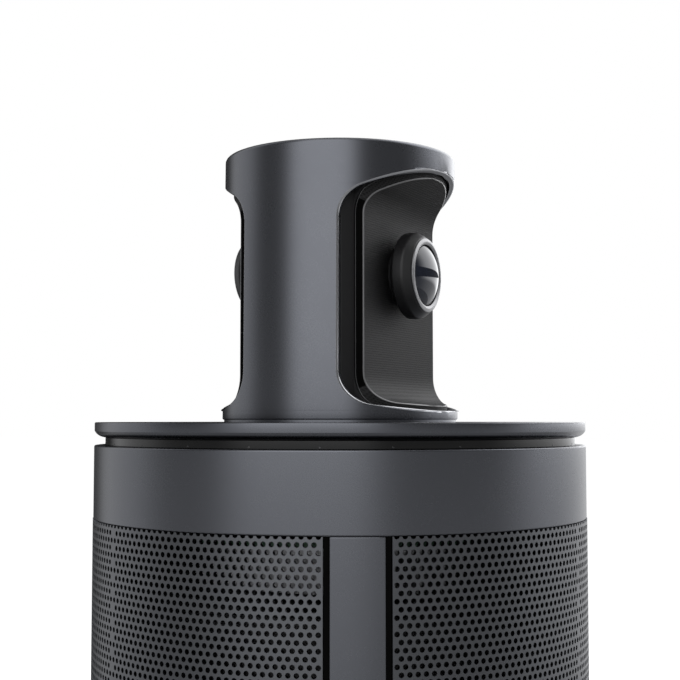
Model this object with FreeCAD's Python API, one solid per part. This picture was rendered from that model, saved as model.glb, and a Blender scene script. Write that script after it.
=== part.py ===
import FreeCAD, Part
import math
import os

# Tabletop conference speakerphone: a round speaker body with a perforated wrap and, on its deck,
# a narrow camera head with two wide-angle lenses that look in opposite directions.
# Millimetres. +Z is up, the origin is the middle of the resting face, lens A looks along -Y.

V = FreeCAD.Vector
ORIGIN = V(0, 0, 0)
UP = V(0, 0, 1)

# --- overall sizes -----------------------------------------------------------------------------
overall_height = 276.0
body_radius = 50.0
head_height = 54.5
head_base_radius = 24.3
head_top_radius = 23.95

# --- clearances --------------------------------------------------------------------------------
seam = 0.1                # radial gap between fixed pieces that sit one inside the other
button_gap = 0.25         # gap all round a button
coil_gap = 0.35           # gap on each side of the voice coil
touch = 0.02              # bonded faces: close, without sharing material
board_gap = 0.3           # round a board inside a ring
socket_gap = 0.1          # a socket body behind its wall
past = 1.0                # cuts run past the face they open by this
reach = 60.0              # longer than any piece is wide, for cuts that go right through

# --- body stack, from the deck down ------------------------------------------------------------
deck_thickness = 3.0
deck_side_height = 1.65
deck_inset = 2.15
deck_edge_drop = 0.05
deck_edge_break = 0.2
deck_bow_out = 0.62       # share of the inset reached midway round the disc's lower edge
deck_bow_up = 0.42
groove_height = 1.55
groove_depth = 2.2
band_height = 14.45
band_wall = 1.8
band_flange = 1.5
lower_band_height = 30.0
grille_wall = 1.1
grille_proud = 0.1
edge_break = 0.35
lower_edge_break = 1.0

# --- ribs --------------------------------------------------------------------------------------
rib_count = 3
rib_first_angle = 60.0    # from lens A, about +Z
rib_width = 9.5
rib_wall = 1.6
gasket_width = 1.0
gasket_recess = 0.2       # gasket face below the ribs' face
panel_gap_angle = 0.1     # between a grille panel and its gasket, in degrees
gasket_gap_angle = 0.02

# --- base --------------------------------------------------------------------------------------
foot_height = 2.0
foot_seat = 1.0
foot_inner_radius = 37.0
foot_outer_radius = 43.0
foot_edge_break = 0.5
base_plate_thickness = 3.6
base_radius_gap = 0.3
tripod_thread_radius = 2.6
tripod_depth = 8.0
tripod_insert_radius = 5.0
tripod_run_out = 1.5      # insert beyond the thread's depth
boss_wall = 3.0
boss_roof = 1.5
screw_count = 4
screw_circle_radius = 30.0
screw_radius = 1.25
screw_head_radius = 2.5
screw_head_height = 1.6
screw_sink = 0.2          # head below the plate's face, and clear of its counterbore
screw_first_angle = 45.0
cross_half = 1.6
cross_slot_half = 0.35
cross_depth = 0.9

# --- inner frame -------------------------------------------------------------------------------
frame_plate_thickness = 2.5
frame_wall_gap = 0.4
post_width = 8.0
post_depth = 4.0
carrier_thickness = 2.0
carrier_drop = 5.7        # from the deck's underside to the carrier's top
carrier_wall = 1.8
frame_hole_radius = 14.0
shelf_low = 6.0           # shelf that grips the speaker box, above the box's foot
shelf_high = 14.0
shelf_lap = 0.6
cable_slot_half = 7.0
deck_post_radius = 2.4
deck_post_circle = 22.0
deck_post_count = 6
board_post_radius = 2.2
board_post_circle = 33.0
board_post_count = 3
rest_post_circle = 31.0
rest_post_count = 6

# --- head --------------------------------------------------------------------------------------
head_wall = 1.15
head_roof = 2.2
head_edge_radius = 0.8
head_gasket_height = 0.5
head_gasket_inset = 0.35
chassis_half = 2.5
chassis_width = 38.0
scoop_half = 10.4         # axis to the shell's cut face
scoop_low = 10.2
scoop_high = 39.2
scoop_low_radius = 6.9
scoop_high_radius = 7.0
scoop_low_slope = 8.7
scoop_high_slope = 25.4
mesh_half = 13.8          # axis to the mesh's face
mesh_low = 9.5
mesh_high = 40.2
mesh_low_radius = 5.8
mesh_high_radius = 5.5
mesh_low_slope = 7.0
mesh_high_slope = 33.0
mesh_thickness = 1.9
mesh_half_width = 17.5
mesh_edge_gap = 0.5
mesh_back_gap = 0.05
liner_shoulder = 1.4
liner_shoulder_width = 17.9
board_pocket_half = 12.0
board_pocket_depth = 3.2
board_pocket_top = 46.0

# --- lenses ------------------------------------------------------------------------------------
lens_height = 29.6        # above the deck
lens_b_rise = 1.9         # lens B sits this much higher
lens_b_stand_off = 1.6    # and this much further out
lens_barrel_radius = 8.75
lens_front_radius = 7.55
lens_foot_height = 0.6    # neck that shows between the mesh and the barrel's flare
lens_flare_radius = 8.45
lens_flare_height = 1.7
lens_flare_break = 0.25
lens_straight = 2.1
lens_length = 5.7         # mesh face to the trim ring
lens_neck_radius = 6.0
lens_neck_depth = 7.6
lens_trim_inner_radius = 6.2
lens_trim_height = 0.7
lens_trim_slope = 0.4     # width of the trim's inner slope
lens_trim_break = 0.25
lens_trim_shoulder = 0.6  # share of the trim's height
glass_radius = 5.95
glass_rise = 1.9
glass_wall = 0.9
glass_inner_rise = 1.7
glass_rim_depth = 1.5     # edge of the glass below the trim's foot
glass_inner_foot = 0.9
glass_seat_gap = 0.1
optics_radius = 5.2
optics_wall = 0.5
optics_back = 1.0         # beyond the barrel's neck
optics_drop = 1.8         # front of the cells below the barrel's front
optics_steps = [2.4, 1.2, 1.6, 2.2, 3.0, 3.4]
iris_radius = 2.2
iris_lip = 0.6
sensor_board_size = 15.0
sensor_board_thickness = 1.0
sensor_half_width = 4.0
sensor_half_height = 3.0
sensor_height = 0.8
flex_width = 8.0
flex_thickness = 0.3
flex_drop = 3.0           # top of the flex below the lens axis
flex_slot_gap = 1.0

# --- deck buttons and light ring -----------------------------------------------------------------
button_names = ["volume_down_button", "mute_button", "power_button", "mode_button", "volume_up_button"]
button_circle_radius = 37.0
button_step = 17.0
button_radius = 4.2
button_travel = 0.4
button_flange = 0.9
button_flange_height = 0.7
button_stem_radius = 1.6
button_stem_length = 0.4
button_edge_radius = 0.25
switch_size = 4.0
switch_height = 1.4
switch_gap = 0.5
switch_key_radius = 1.1
switch_key_height = 0.4
top_board_thickness = 1.2
top_board_inner_radius = 27.5
halo_width = 3.2
halo_skirt_width = 1.5
halo_skirt_height = 1.6
led_count = 24
led_width = 2.0
led_depth = 1.2
led_height = 1.0
led_first_angle = 7.5
mic_count = 8
mic_first_angle = 58.0
mic_circle_radius = 39.6
mic_radius = 2.0
mic_height = 1.1

# --- electronics -------------------------------------------------------------------------------
main_board_radius = 38.0
main_board_thickness = 1.6
main_board_drop = 10.0
post_notch_half = 6.0
post_notch_inner = 35.0
chip_layout = [            # middle x and y, width, depth, height
    (-9, -19, 15, 15, 1.6), (12, -16, 11, 9, 1.2), (14, 14, 10, 10, 1.2), (-16, 12, 9, 12, 1.2),
    (-24, -6, 6, 6, 1.0), (24, -2, 7, 5, 1.0), (0, 20, 12, 6, 4.5),
]
sink_radius = 34.0
sink_plate = 2.0
fin_height = 7.0
fin_thickness = 1.2
fin_pitch = 4.4
fin_margin = 4.0
fin_inset = 1.0

# --- speaker -----------------------------------------------------------------------------------
enclosure_radius = 39.0
enclosure_wall = 2.0
enclosure_bottom = 66.0
enclosure_gap = 3.0
driver_radius = 31.0
driver_mount_radius = 35.0
basket_thickness = 1.5
basket_depth = 17.0
basket_wall = 1.5
basket_window_width = 10.0
basket_window_margin = 3.5
basket_back = 1.5
basket_plate = 1.2
basket_plate_gap = 3.0
basket_rim_inset = 0.5
basket_leg_count = 3
mount_step = 4.0
surround_outer_radius = 29.0
surround_inner_radius = 24.5
surround_lap = 1.0        # basket flange under the surround's edge
surround_edge_gap = 0.05
surround_rise = -1.6
surround_wall = 0.5
cone_depth = 9.0
cone_wall = 0.8
cone_rim_rise = 1.0       # rim above the basket's flange
cap_radius = 5.0
cap_depths = [3.4, 2.8]
coil_radius = 10.0
coil_wall = 0.5
coil_length = 9.0
pole_radius = 9.15
magnet_radius = 24.0
magnet_height = 12.0
magnet_plate = 3.0
magnet_plate_inset = 2.0
magnet_hole_gap = 2.0
spider_radius = 20.0
spider_rise = 2.6         # basket seat above the cone's neck
spider_seat = 1.6
spider_seat_inset = 0.8
spider_lap = 1.2
spider_drop = 1.4
spider_wave = 0.9
spider_wall = 0.35
spider_waves = 3
diffuser_radius = 30.0
diffuser_height = 18.0
diffuser_gap = 5.0
diffuser_rim = 1.5
diffuser_slope = [(0.5, 4.5), (0.2, 10.0)]   # share of the radius and height of each corner
diffuser_tip = 3.0
diffuser_leg_radius = 2.5
diffuser_leg_circle = 26.0
diffuser_leg_angles = [-150, -90, -30, 165, 15]
diffuser_leg_lap = 1.0

# --- rear ports ----------------------------------------------------------------------------------
port_board_thickness = 1.6
port_board_depth = 21.0
port_board_height = 12.0   # underside above the resting face
port_clear = 0.25
dc_depth = 12.0
dc_bore_radius = 2.75
dc_pin_radius = 1.0
dc_pin_recess = 1.5
dc_window_wall = 1.0
usb_depth = 7.4
usb_wall = 0.35
usb_tongue = (6.6, 0.7)
hdmi_depth = 11.0
hdmi_wall = 0.4
hdmi_tongue = (11.0, 1.0)
ethernet_depth = 16.0
ethernet_wall = 1.6
socket_back = 1.0
socket_recess = 0.3
port_board_margin = 1.0
port_post_radius = 2.0
port_post_inset = 5.0
port_spacing = 2.0
bay_face = 38.0            # back wall of the rear bay, from the axis
bay_wall = 1.8
bay_margin = 1.6           # bay edge to the nearest socket
bay_lap = 0.5
port_sizes = {"dc_jack": (9.0, 9.0), "usb_c_socket": (9.0, 3.3), "hdmi_socket": (15.0, 5.6),
              "ethernet_socket": (15.6, 13.2)}

# --- worked out ----------------------------------------------------------------------------------
deck_top = overall_height - head_height
deck_bottom = deck_top - deck_thickness
band_top = deck_bottom - groove_height
band_bottom = band_top - band_height
lower_band_top = foot_height + lower_band_height
groove_radius = body_radius - groove_depth
carrier_top = deck_bottom - carrier_drop
carrier_bottom = carrier_top - carrier_thickness
base_top = foot_height + base_plate_thickness
insert_top = foot_height + tripod_depth + tripod_run_out
frame_plate_top = base_top + frame_plate_thickness
frame_radius = body_radius - band_wall - frame_wall_gap
rib_inner = body_radius - rib_wall
grille_outer = body_radius + grille_proud
grille_inner = grille_outer - grille_wall
post_outer = body_radius - band_wall - seam
post_inner = post_outer - post_depth
button_stem_bottom = deck_bottom - button_gap - button_flange_height - button_stem_length
switch_top = button_stem_bottom - switch_gap
top_board_top = switch_top - switch_height
top_board_bottom = top_board_top - top_board_thickness
halo_inner = groove_radius - halo_width
halo_skirt_outer = halo_inner + halo_skirt_width
top_board_radius = halo_inner - board_gap
main_board_top = carrier_bottom - main_board_drop
main_board_bottom = main_board_top - main_board_thickness
sink_bottom = main_board_bottom - sink_plate - fin_height
enclosure_top = sink_bottom - enclosure_gap
rib_angles = [rib_first_angle + 360.0 / rib_count * i for i in range(rib_count)]


# --- small helpers ---------------------------------------------------------------------------------
def disc(radius, z0, z1, x=0.0, y=0.0):
    return Part.makeCylinder(radius, z1 - z0, V(x, y, z0), UP)


def ring(inner, outer, z0, z1, x=0.0, y=0.0):
    return disc(outer, z0, z1, x, y).cut(disc(inner, z0 - past, z1 + past, x, y))


def block(x0, x1, y0, y1, z0, z1):
    return Part.makeBox(x1 - x0, y1 - y0, z1 - z0, V(x0, y0, z0))


def turned(points):
    """Solid of revolution about Z from (radius, height) corners."""
    corners = [V(r, 0, z) for r, z in points]
    face = Part.Face(Part.makePolygon(corners + corners[:1]))
    return face.revolve(ORIGIN, UP, 360)


def spun(shape, degrees):
    """Copy of a shape turned about Z."""
    copy = shape.copy()
    copy.rotate(ORIGIN, UP, degrees)
    return copy


def around(shape, count, first=0.0):
    """Copies of a shape, evenly spaced about Z."""
    return [spun(shape, first + 360.0 / count * i) for i in range(count)]


def wedge(degrees_from, degrees_to, z0, z1):
    """Sector of a disc between two angles measured from -Y, about +Z."""
    sector = Part.makeCylinder(reach, z1 - z0, V(0, 0, z0), UP, degrees_to - degrees_from)
    sector.rotate(ORIGIN, UP, degrees_from - 90.0)
    return sector


def joined(shapes):
    whole = shapes[0]
    if len(shapes) > 1:
        whole = whole.fuse(shapes[1:])
    return whole.removeSplitter()


def save(name, shape):
    if isinstance(shape, list):
        shape = Part.makeCompound(shape)
    shape.exportStep(os.path.join("parts", name + ".step"))
    volume = sum(s.Volume for s in shape.Solids)
    print(f"{name:22s} solids {len(shape.Solids):3d}  volume {volume:10.1f}  valid {shape.isValid()}")


# --- head: shell, liners, mesh pads -------------------------------------------------------------------
def scoop_air(half, low, high, low_radius, high_radius, low_slope, high_slope, inset=0.0):
    """The space in front of lens A's recess: a C-shaped profile carried right across the head.

    inset moves the whole profile towards the axis by that much, along its own normal."""
    a = math.radians(90.0 - low_slope)
    b = math.radians(90.0 - high_slope)
    r_low = low_radius + inset
    r_high = high_radius + inset
    c_low = half + low_radius
    c_high = half + high_radius

    def low_point(angle):
        return V(0, -(c_low - r_low * math.cos(angle)), deck_top + low - r_low * math.sin(angle))

    def high_point(angle):
        return V(0, -(c_high - r_high * math.cos(angle)), deck_top + high + r_high * math.sin(angle))

    low_end = low_point(a)
    high_end = high_point(b)
    low_far = V(0, -reach, low_end.z - (reach + low_end.y) * math.tan(math.radians(low_slope)))
    high_far = V(0, -reach, high_end.z + (reach + high_end.y) * math.tan(math.radians(high_slope)))
    edges = [
        Part.LineSegment(low_far, low_end).toShape(),
        Part.Arc(low_end, low_point(a / 2), low_point(0)).toShape(),
        Part.LineSegment(low_point(0), high_point(0)).toShape(),
        Part.Arc(high_point(0), high_point(b / 2), high_end).toShape(),
        Part.LineSegment(high_end, high_far).toShape(),
        Part.LineSegment(high_far, low_far).toShape(),
    ]
    face = Part.Face(Part.Wire(edges))
    face.translate(V(-reach, 0, 0))
    return face.extrude(V(2 * reach, 0, 0))


def shell_air():
    return scoop_air(scoop_half, scoop_low, scoop_high, scoop_low_radius, scoop_high_radius,
                     scoop_low_slope, scoop_high_slope)


def mesh_air(inset=0.0):
    return scoop_air(mesh_half, mesh_low, mesh_high, mesh_low_radius, mesh_high_radius,
                     mesh_low_slope, mesh_high_slope, inset)


def head_radius_at(height):
    return head_base_radius + (head_top_radius - head_base_radius) * height / head_height


head_foot = deck_top + head_gasket_height
head_top = overall_height
liner_radius = head_top_radius - head_wall - seam


def make_head_shell():
    e = head_edge_radius
    side = [V(head_radius_at(head_gasket_height), 0, head_foot), V(head_top_radius, 0, head_top - e)]
    corner = V(head_top_radius - e * (1 - math.sqrt(0.5)), 0, head_top - e * (1 - math.sqrt(0.5)))
    crown = V(head_top_radius - e, 0, head_top)
    edges = [
        Part.LineSegment(V(0, 0, head_foot), side[0]).toShape(),
        Part.LineSegment(side[0], side[1]).toShape(),
        Part.Arc(side[1], corner, crown).toShape(),
        Part.LineSegment(crown, V(0, 0, head_top)).toShape(),
        Part.LineSegment(V(0, 0, head_top), V(0, 0, head_foot)).toShape(),
    ]
    solid = Part.Face(Part.Wire(edges)).revolve(ORIGIN, UP, 360)
    bore = disc(head_top_radius - head_wall, head_foot - past, head_top - head_roof)
    air = shell_air()
    return solid.cut(bore).cut(air).cut(spun(air, 180))


def lens_axis_cylinder(radius, near, far, height):
    """Cylinder along lens A's axis between two distances from the head's own axis."""
    return Part.makeCylinder(radius, far - near, V(0, -near, deck_top + height), V(0, -1, 0))


def side_height(side):
    return lens_height + (lens_b_rise if side == "b" else 0.0)


def side_face(side):
    return mesh_half + (lens_b_stand_off if side == "b" else 0.0)


def placed(shape, side):
    return spun(shape, 180) if side == "b" else shape


def make_recess_liner(side):
    back = chassis_half + seam
    front = mesh_half - mesh_thickness
    shoulder = front - liner_shoulder
    shoulder_half = math.sqrt(liner_radius ** 2 - shoulder ** 2)
    right = [(reach, -back), (reach, -shoulder), (shoulder_half, -shoulder), (liner_shoulder_width, -front),
             (liner_shoulder_width, -reach)]
    left = [(-x, y) for x, y in reversed(right)]
    corners = [V(x, y, 0) for x, y in right + left]
    plan = Part.Face(Part.makePolygon(corners + corners[:1]))
    plan.translate(V(0, 0, head_foot))
    bar = plan.extrude(V(0, 0, head_top - head_roof - seam - head_foot))
    body = bar.common(disc(liner_radius, head_foot, head_top - head_roof - seam))
    body = body.cut(mesh_air(mesh_thickness))
    pocket = block(-board_pocket_half, board_pocket_half, -(back + board_pocket_depth), -back + past,
                   head_foot - past, deck_top + board_pocket_top)
    body = body.cut(pocket)
    return placed(body.cut(lens_axis_cylinder(lens_neck_radius + seam, 0, reach, side_height(side))), side)


def make_recess_mesh(side):
    pad = disc(liner_radius - mesh_edge_gap, head_foot, head_top - head_roof)
    pad = pad.common(block(-mesh_half_width, mesh_half_width, -reach, -seam, head_foot, head_top))
    pad = pad.common(mesh_air(mesh_thickness - mesh_back_gap)).cut(mesh_air())
    return placed(pad.cut(lens_axis_cylinder(lens_neck_radius + seam, 0, reach, side_height(side))), side)


# --- lenses -------------------------------------------------------------------------------------------
def lens_wire(points, side):
    """Closed outline from (radius, distance from the head's axis) corners."""
    z = deck_top + side_height(side)
    corners = [V(r, -c, z) for r, c in points]
    return Part.makePolygon(corners + corners[:1])


def lens_turned(wire, side):
    """Revolve an outline about the lens axis."""
    axis_point = V(0, 0, deck_top + side_height(side))
    return Part.Face(wire).revolve(axis_point, V(0, -1, 0), 360)


sensor_face = mesh_half - lens_neck_depth - optics_back   # front of a sensor board, from the head's axis


def make_lens_barrel(side):
    face = side_face(side)
    back = mesh_half - lens_neck_depth
    front = face + lens_length
    glass_seat = front - glass_rim_depth - glass_seat_gap
    outline = [
        (optics_radius + seam, back), (lens_neck_radius, back), (lens_neck_radius, face + lens_foot_height),
        (lens_flare_radius, face + lens_flare_height),
        (lens_barrel_radius, face + lens_flare_height + lens_flare_break),
        (lens_barrel_radius, face + lens_flare_height + lens_flare_break + lens_straight),
        (lens_front_radius, front), (glass_radius + seam, front),
        (glass_radius + seam, glass_seat), (optics_radius + seam, glass_seat),
    ]
    return placed(lens_turned(lens_wire(outline, side), side), side)


def make_lens_trim(side):
    front = side_face(side) + lens_length
    outline = [(lens_trim_inner_radius, front), (lens_front_radius, front),
               (lens_front_radius - lens_trim_break, front + lens_trim_height * lens_trim_shoulder),
               (lens_trim_inner_radius + lens_trim_slope, front + lens_trim_height)]
    return placed(lens_turned(lens_wire(outline, side), side), side)


def make_lens_glass(side):
    z = deck_top + side_height(side)
    rim = side_face(side) + lens_length
    seat = rim - glass_rim_depth
    bore = glass_radius - glass_wall

    def arc(radius, rise, base):
        sphere = (radius ** 2 + rise ** 2) / (2 * rise)
        centre = base + rise - sphere
        mid = math.asin(radius / sphere) / 2
        return [V(radius, -base, z), V(sphere * math.sin(mid), -(centre + sphere * math.cos(mid)), z),
                V(0, -(base + rise), z)]

    outer = arc(glass_radius, glass_rise, rim)
    inner = arc(bore, glass_inner_rise, seat + glass_inner_foot)
    edges = [
        Part.Arc(*outer).toShape(),
        Part.LineSegment(outer[2], inner[2]).toShape(),
        Part.Arc(*inner).toShape(),
        Part.LineSegment(inner[0], V(bore, -seat, z)).toShape(),
        Part.LineSegment(V(bore, -seat, z), V(glass_radius, -seat, z)).toShape(),
        Part.LineSegment(V(glass_radius, -seat, z), outer[0]).toShape(),
    ]
    return placed(lens_turned(Part.Wire(edges), side), side)


def make_lens_optics(side):
    front = side_face(side) + lens_length - optics_drop
    rim, lip, slope, throat, well, pole = [front - step for step in optics_steps]
    inner = optics_radius - optics_wall
    outline = [(0, sensor_face), (optics_radius, sensor_face), (optics_radius, rim), (inner, rim),
               (inner, lip), (iris_radius + iris_lip, slope), (iris_radius, throat), (iris_radius, well), (0, pole)]
    return placed(lens_turned(lens_wire(outline, side), side), side)


def make_sensor_board(side):
    z = deck_top + side_height(side)
    half = sensor_board_size / 2
    back = sensor_board_thickness - sensor_face
    board = block(-half, half, -sensor_face, back, z - half, z + half)
    chip = block(-sensor_half_width, sensor_half_width, back, back + sensor_height,
                 z - sensor_half_height, z + sensor_half_height)
    return placed(joined([board, chip]), side)


def make_head_chassis():
    half = chassis_width / 2
    plate = block(-half, half, -chassis_half, chassis_half, deck_top, head_top - head_roof - seam)
    return plate.common(disc(liner_radius, deck_top, head_top))


def make_camera_flex():
    back = sensor_board_thickness - sensor_face
    strips = []
    for side in "ab":
        top = deck_top + side_height(side) - flex_drop
        strip = block(-flex_width / 2, flex_width / 2, back, back + flex_thickness, main_board_top, top)
        strips.append(placed(strip, side))
    return strips


# --- deck, buttons, light ring ------------------------------------------------------------------------
def button_places():
    middle = (len(button_names) - 1) / 2.0
    places = []
    for i, name in enumerate(button_names):
        angle = math.radians((i - middle) * button_step)
        places.append((name, button_circle_radius * math.sin(angle), -button_circle_radius * math.cos(angle)))
    return places


def cable_slot(z0, z1):
    half = flex_width / 2 + flex_slot_gap
    return block(-half, half, -cable_slot_half, cable_slot_half, z0 - past, z1 + past)


def make_deck_disc():
    side_bottom = deck_top - deck_side_height
    r = body_radius - deck_edge_drop
    e = deck_edge_break
    inner = r - deck_inset
    edges = [
        Part.LineSegment(V(0, 0, deck_bottom), V(inner, 0, deck_bottom)).toShape(),
        Part.Arc(V(inner, 0, deck_bottom), V(inner + deck_inset * deck_bow_out, 0, deck_bottom + deck_bow_up),
                 V(r, 0, side_bottom)).toShape(),
        Part.LineSegment(V(r, 0, side_bottom), V(r, 0, deck_top - e)).toShape(),
        Part.LineSegment(V(r, 0, deck_top - e), V(r - e, 0, deck_top)).toShape(),
        Part.LineSegment(V(r - e, 0, deck_top), V(0, 0, deck_top)).toShape(),
        Part.LineSegment(V(0, 0, deck_top), V(0, 0, deck_bottom)).toShape(),
    ]
    disc_solid = Part.Face(Part.Wire(edges)).revolve(ORIGIN, UP, 360)
    disc_solid = disc_solid.cut(cable_slot(deck_bottom, deck_top))
    hole = button_radius + button_gap
    for name, x, y in button_places():
        disc_solid = disc_solid.cut(disc(hole, deck_bottom - past, deck_top + past, x, y))
    return disc_solid


def make_head_gasket():
    return ring(head_base_radius - head_wall, head_base_radius - head_gasket_inset, deck_top, head_foot)


def make_button(x, y):
    flange_top = deck_bottom - button_gap
    flange_bottom = flange_top - button_flange_height
    cap = Part.makeCylinder(button_radius, deck_top - flange_top, V(x, y, flange_top), UP)
    top_edges = [edge for edge in cap.Edges if edge.BoundBox.ZMin > deck_top - touch]
    cap = cap.makeFillet(button_edge_radius, top_edges)
    flange = disc(button_radius + button_flange, flange_bottom, flange_top, x, y)
    stem = disc(button_stem_radius, button_stem_bottom, flange_bottom, x, y)
    return joined([cap, flange, stem])


def make_tact_switches():
    half = switch_size / 2
    can_top = switch_top - switch_key_height
    switches = []
    for name, x, y in button_places():
        can = block(x - half, x + half, y - half, y + half, top_board_top, can_top)
        switches.append(joined([can, disc(switch_key_radius, can_top, switch_top, x, y)]))
    return switches


def make_top_board():
    return ring(top_board_inner_radius, top_board_radius, top_board_bottom, top_board_top)


def make_halo_ring():
    outline = [(halo_inner, band_top - halo_skirt_height), (halo_skirt_outer, band_top - halo_skirt_height),
               (halo_skirt_outer, band_top), (groove_radius, band_top), (groove_radius, deck_bottom),
               (halo_inner, deck_bottom)]
    return turned(outline)


def make_halo_leds():
    led = block(-led_width / 2, led_width / 2, -top_board_radius, led_depth - top_board_radius,
                top_board_top, top_board_top + led_height)
    return around(led, led_count, led_first_angle)


def make_mic_capsules():
    capsules = []
    for i in range(mic_count):
        angle = math.radians(mic_first_angle + (360.0 - 2 * mic_first_angle) / (mic_count - 1) * i)
        x = mic_circle_radius * math.sin(angle)
        y = -mic_circle_radius * math.cos(angle)
        capsules.append(disc(mic_radius, top_board_top, top_board_top + mic_height, x, y))
    return capsules


def make_upper_band():
    r = body_radius
    e = edge_break
    inner = r - band_wall
    outline = [(inner, band_bottom), (r - e, band_bottom), (r, band_bottom + e), (r, band_top - e),
               (r - e, band_top), (halo_skirt_outer + seam, band_top),
               (halo_skirt_outer + seam, band_top - band_flange), (inner, band_top - band_flange)]
    return turned(outline)


# --- wrap: grilles, ribs, gaskets -----------------------------------------------------------------------
def half_angle(width, radius=body_radius):
    return math.degrees(math.asin(width / 2 / radius))


def make_grilles():
    wrap = ring(grille_inner, grille_outer, lower_band_top, band_bottom)
    edge = half_angle(rib_width + 2 * gasket_width) + panel_gap_angle
    names = ["grille_right", "grille_left", "grille_front"]
    panels = {}
    for name, angle in zip(names, rib_angles):
        sector = wedge(angle + edge, angle + 360.0 / rib_count - edge, lower_band_top, band_bottom)
        panels[name] = wrap.common(sector)
    return panels


def make_ribs():
    bar = ring(rib_inner, body_radius, lower_band_top, band_bottom)
    half = half_angle(rib_width)
    return [bar.common(wedge(a - half, a + half, lower_band_top, band_bottom)) for a in rib_angles]


def make_rib_gaskets():
    bar = ring(rib_inner, body_radius - gasket_recess, lower_band_top, band_bottom)
    near = half_angle(rib_width) + gasket_gap_angle
    far = half_angle(rib_width + 2 * gasket_width)
    strips = []
    for a in rib_angles:
        for low, high in ((a - far, a - near), (a + near, a + far)):
            strips.append(bar.common(wedge(low, high, lower_band_top, band_bottom)))
    return strips


# --- frame and base -----------------------------------------------------------------------------------
port_floor = port_board_height + port_board_thickness
ports_width = sum(width for width, height in port_sizes.values()) + port_spacing * (len(port_sizes) - 1)
bay_half = ports_width / 2 + bay_margin
bay_bottom = port_floor - bay_margin
bay_top = port_floor + max(height for width, height in port_sizes.values()) + bay_margin


def port_places():
    """Middle across the rear of each socket, left to right seen from behind."""
    places = {}
    x = ports_width / 2
    for name, (width, height) in port_sizes.items():
        places[name] = x - width / 2
        x -= width + port_spacing
    return places


def port_window(name, x):
    width, height = port_sizes[name]
    if name == "dc_jack":
        middle = V(x, 0, port_floor + height / 2)
        return Part.makeCylinder(height / 2 - dc_window_wall, reach, middle, V(0, 1, 0))
    return block(x - width / 2 - port_clear, x + width / 2 + port_clear, 0, reach,
                 port_floor - port_clear, port_floor + height + port_clear)


def make_lower_band():
    r = body_radius
    e = edge_break
    inner = r - band_wall
    z0 = foot_height
    z1 = lower_band_top
    foot = lower_edge_break
    outline = [(inner, z0), (r - foot, z0), (r, z0 + foot), (r, z1 - e), (r - e, z1), (inner, z1)]
    w = bay_wall
    housing = block(-bay_half - w, bay_half + w, bay_face - w, r, bay_bottom - w, bay_top + w)
    bay = block(-bay_half, bay_half, bay_face, reach + r, bay_bottom, bay_top)
    band = joined([turned(outline), housing.common(disc(inner + bay_lap, z0, z1))]).cut(bay)
    for name, x in port_places().items():
        band = band.cut(port_window(name, x))
    return band


def make_inner_frame():
    half = post_width / 2
    shelf_foot = enclosure_bottom + shelf_low
    shelf_top = enclosure_bottom + shelf_high
    pieces = [ring(frame_hole_radius, frame_radius, base_top, frame_plate_top)]
    for a in rib_angles:
        over_bay = abs(post_outer * math.sin(math.radians(a))) < bay_half and math.cos(math.radians(a)) < 0
        foot = bay_top + bay_wall if over_bay else base_top
        post = block(-half, half, -post_outer, -post_inner, foot, carrier_bottom)
        pieces.append(spun(post.common(disc(post_outer, foot, carrier_bottom)), a))
        shelf = block(-half, half, -post_inner - past, -enclosure_radius - seam, shelf_foot, shelf_top)
        pieces.append(spun(shelf, a))
    pieces.append(ring(enclosure_radius + seam, post_inner + shelf_lap, shelf_foot, shelf_top))
    return joined(pieces)


def make_deck_carrier():
    outer = body_radius - band_wall - seam
    plate = disc(outer, carrier_bottom, carrier_top)
    plate = plate.cut(cable_slot(carrier_bottom, carrier_top))
    wall = ring(outer - carrier_wall, outer, carrier_top, band_top - band_flange)
    deck_post = disc(deck_post_radius, carrier_top, deck_bottom, 0, deck_post_circle)
    board_post = disc(board_post_radius, main_board_top, carrier_bottom, 0, board_post_circle)
    rest_post = disc(board_post_radius, carrier_top, top_board_bottom, 0, rest_post_circle)
    return joined([plate, wall] + around(deck_post, deck_post_count, 180.0 / deck_post_count)
                  + around(board_post, board_post_count) + around(rest_post, rest_post_count))


def make_base_plate():
    outer = body_radius - band_wall - base_radius_gap
    plate = disc(outer, foot_height, base_top)
    plate = plate.cut(ring(foot_inner_radius, foot_outer_radius, foot_height - past, foot_height + foot_seat))
    plate = plate.cut(disc(tripod_insert_radius, foot_height - past, base_top + past))
    boss = ring(tripod_insert_radius, tripod_insert_radius + boss_wall, base_top, insert_top)
    roof = disc(tripod_insert_radius + boss_wall, insert_top, insert_top + boss_roof)
    plate = joined([plate, boss, roof])
    under = foot_height - past
    for x, y in screw_places():
        plate = plate.cut(disc(screw_radius, under, base_top + past, x, y))
        plate = plate.cut(disc(screw_head_radius + screw_sink, under, foot_height + screw_head_height, x, y))
    return plate


def screw_places():
    places = []
    for i in range(screw_count):
        angle = math.radians(screw_first_angle + 360.0 / screw_count * i)
        places.append((screw_circle_radius * math.cos(angle), screw_circle_radius * math.sin(angle)))
    return places


def make_base_screws():
    screws = []
    for x, y in screw_places():
        head_top_face = foot_height + screw_head_height
        head = disc(screw_head_radius, foot_height + screw_sink, head_top_face, x, y)
        for half_x, half_y in ((cross_half, cross_slot_half), (cross_slot_half, cross_half)):
            head = head.cut(block(x - half_x, x + half_x, y - half_y, y + half_y,
                                  foot_height, foot_height + cross_depth))
        shank = disc(screw_radius, head_top_face, base_top, x, y)
        screws.append(joined([head, shank]))
    return screws


def make_foot_ring():
    z1 = foot_height + foot_seat
    e = foot_edge_break
    outline = [(foot_inner_radius + e, 0), (foot_outer_radius - e, 0), (foot_outer_radius, e),
               (foot_outer_radius, z1), (foot_inner_radius, z1), (foot_inner_radius, e)]
    return turned(outline)


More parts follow.
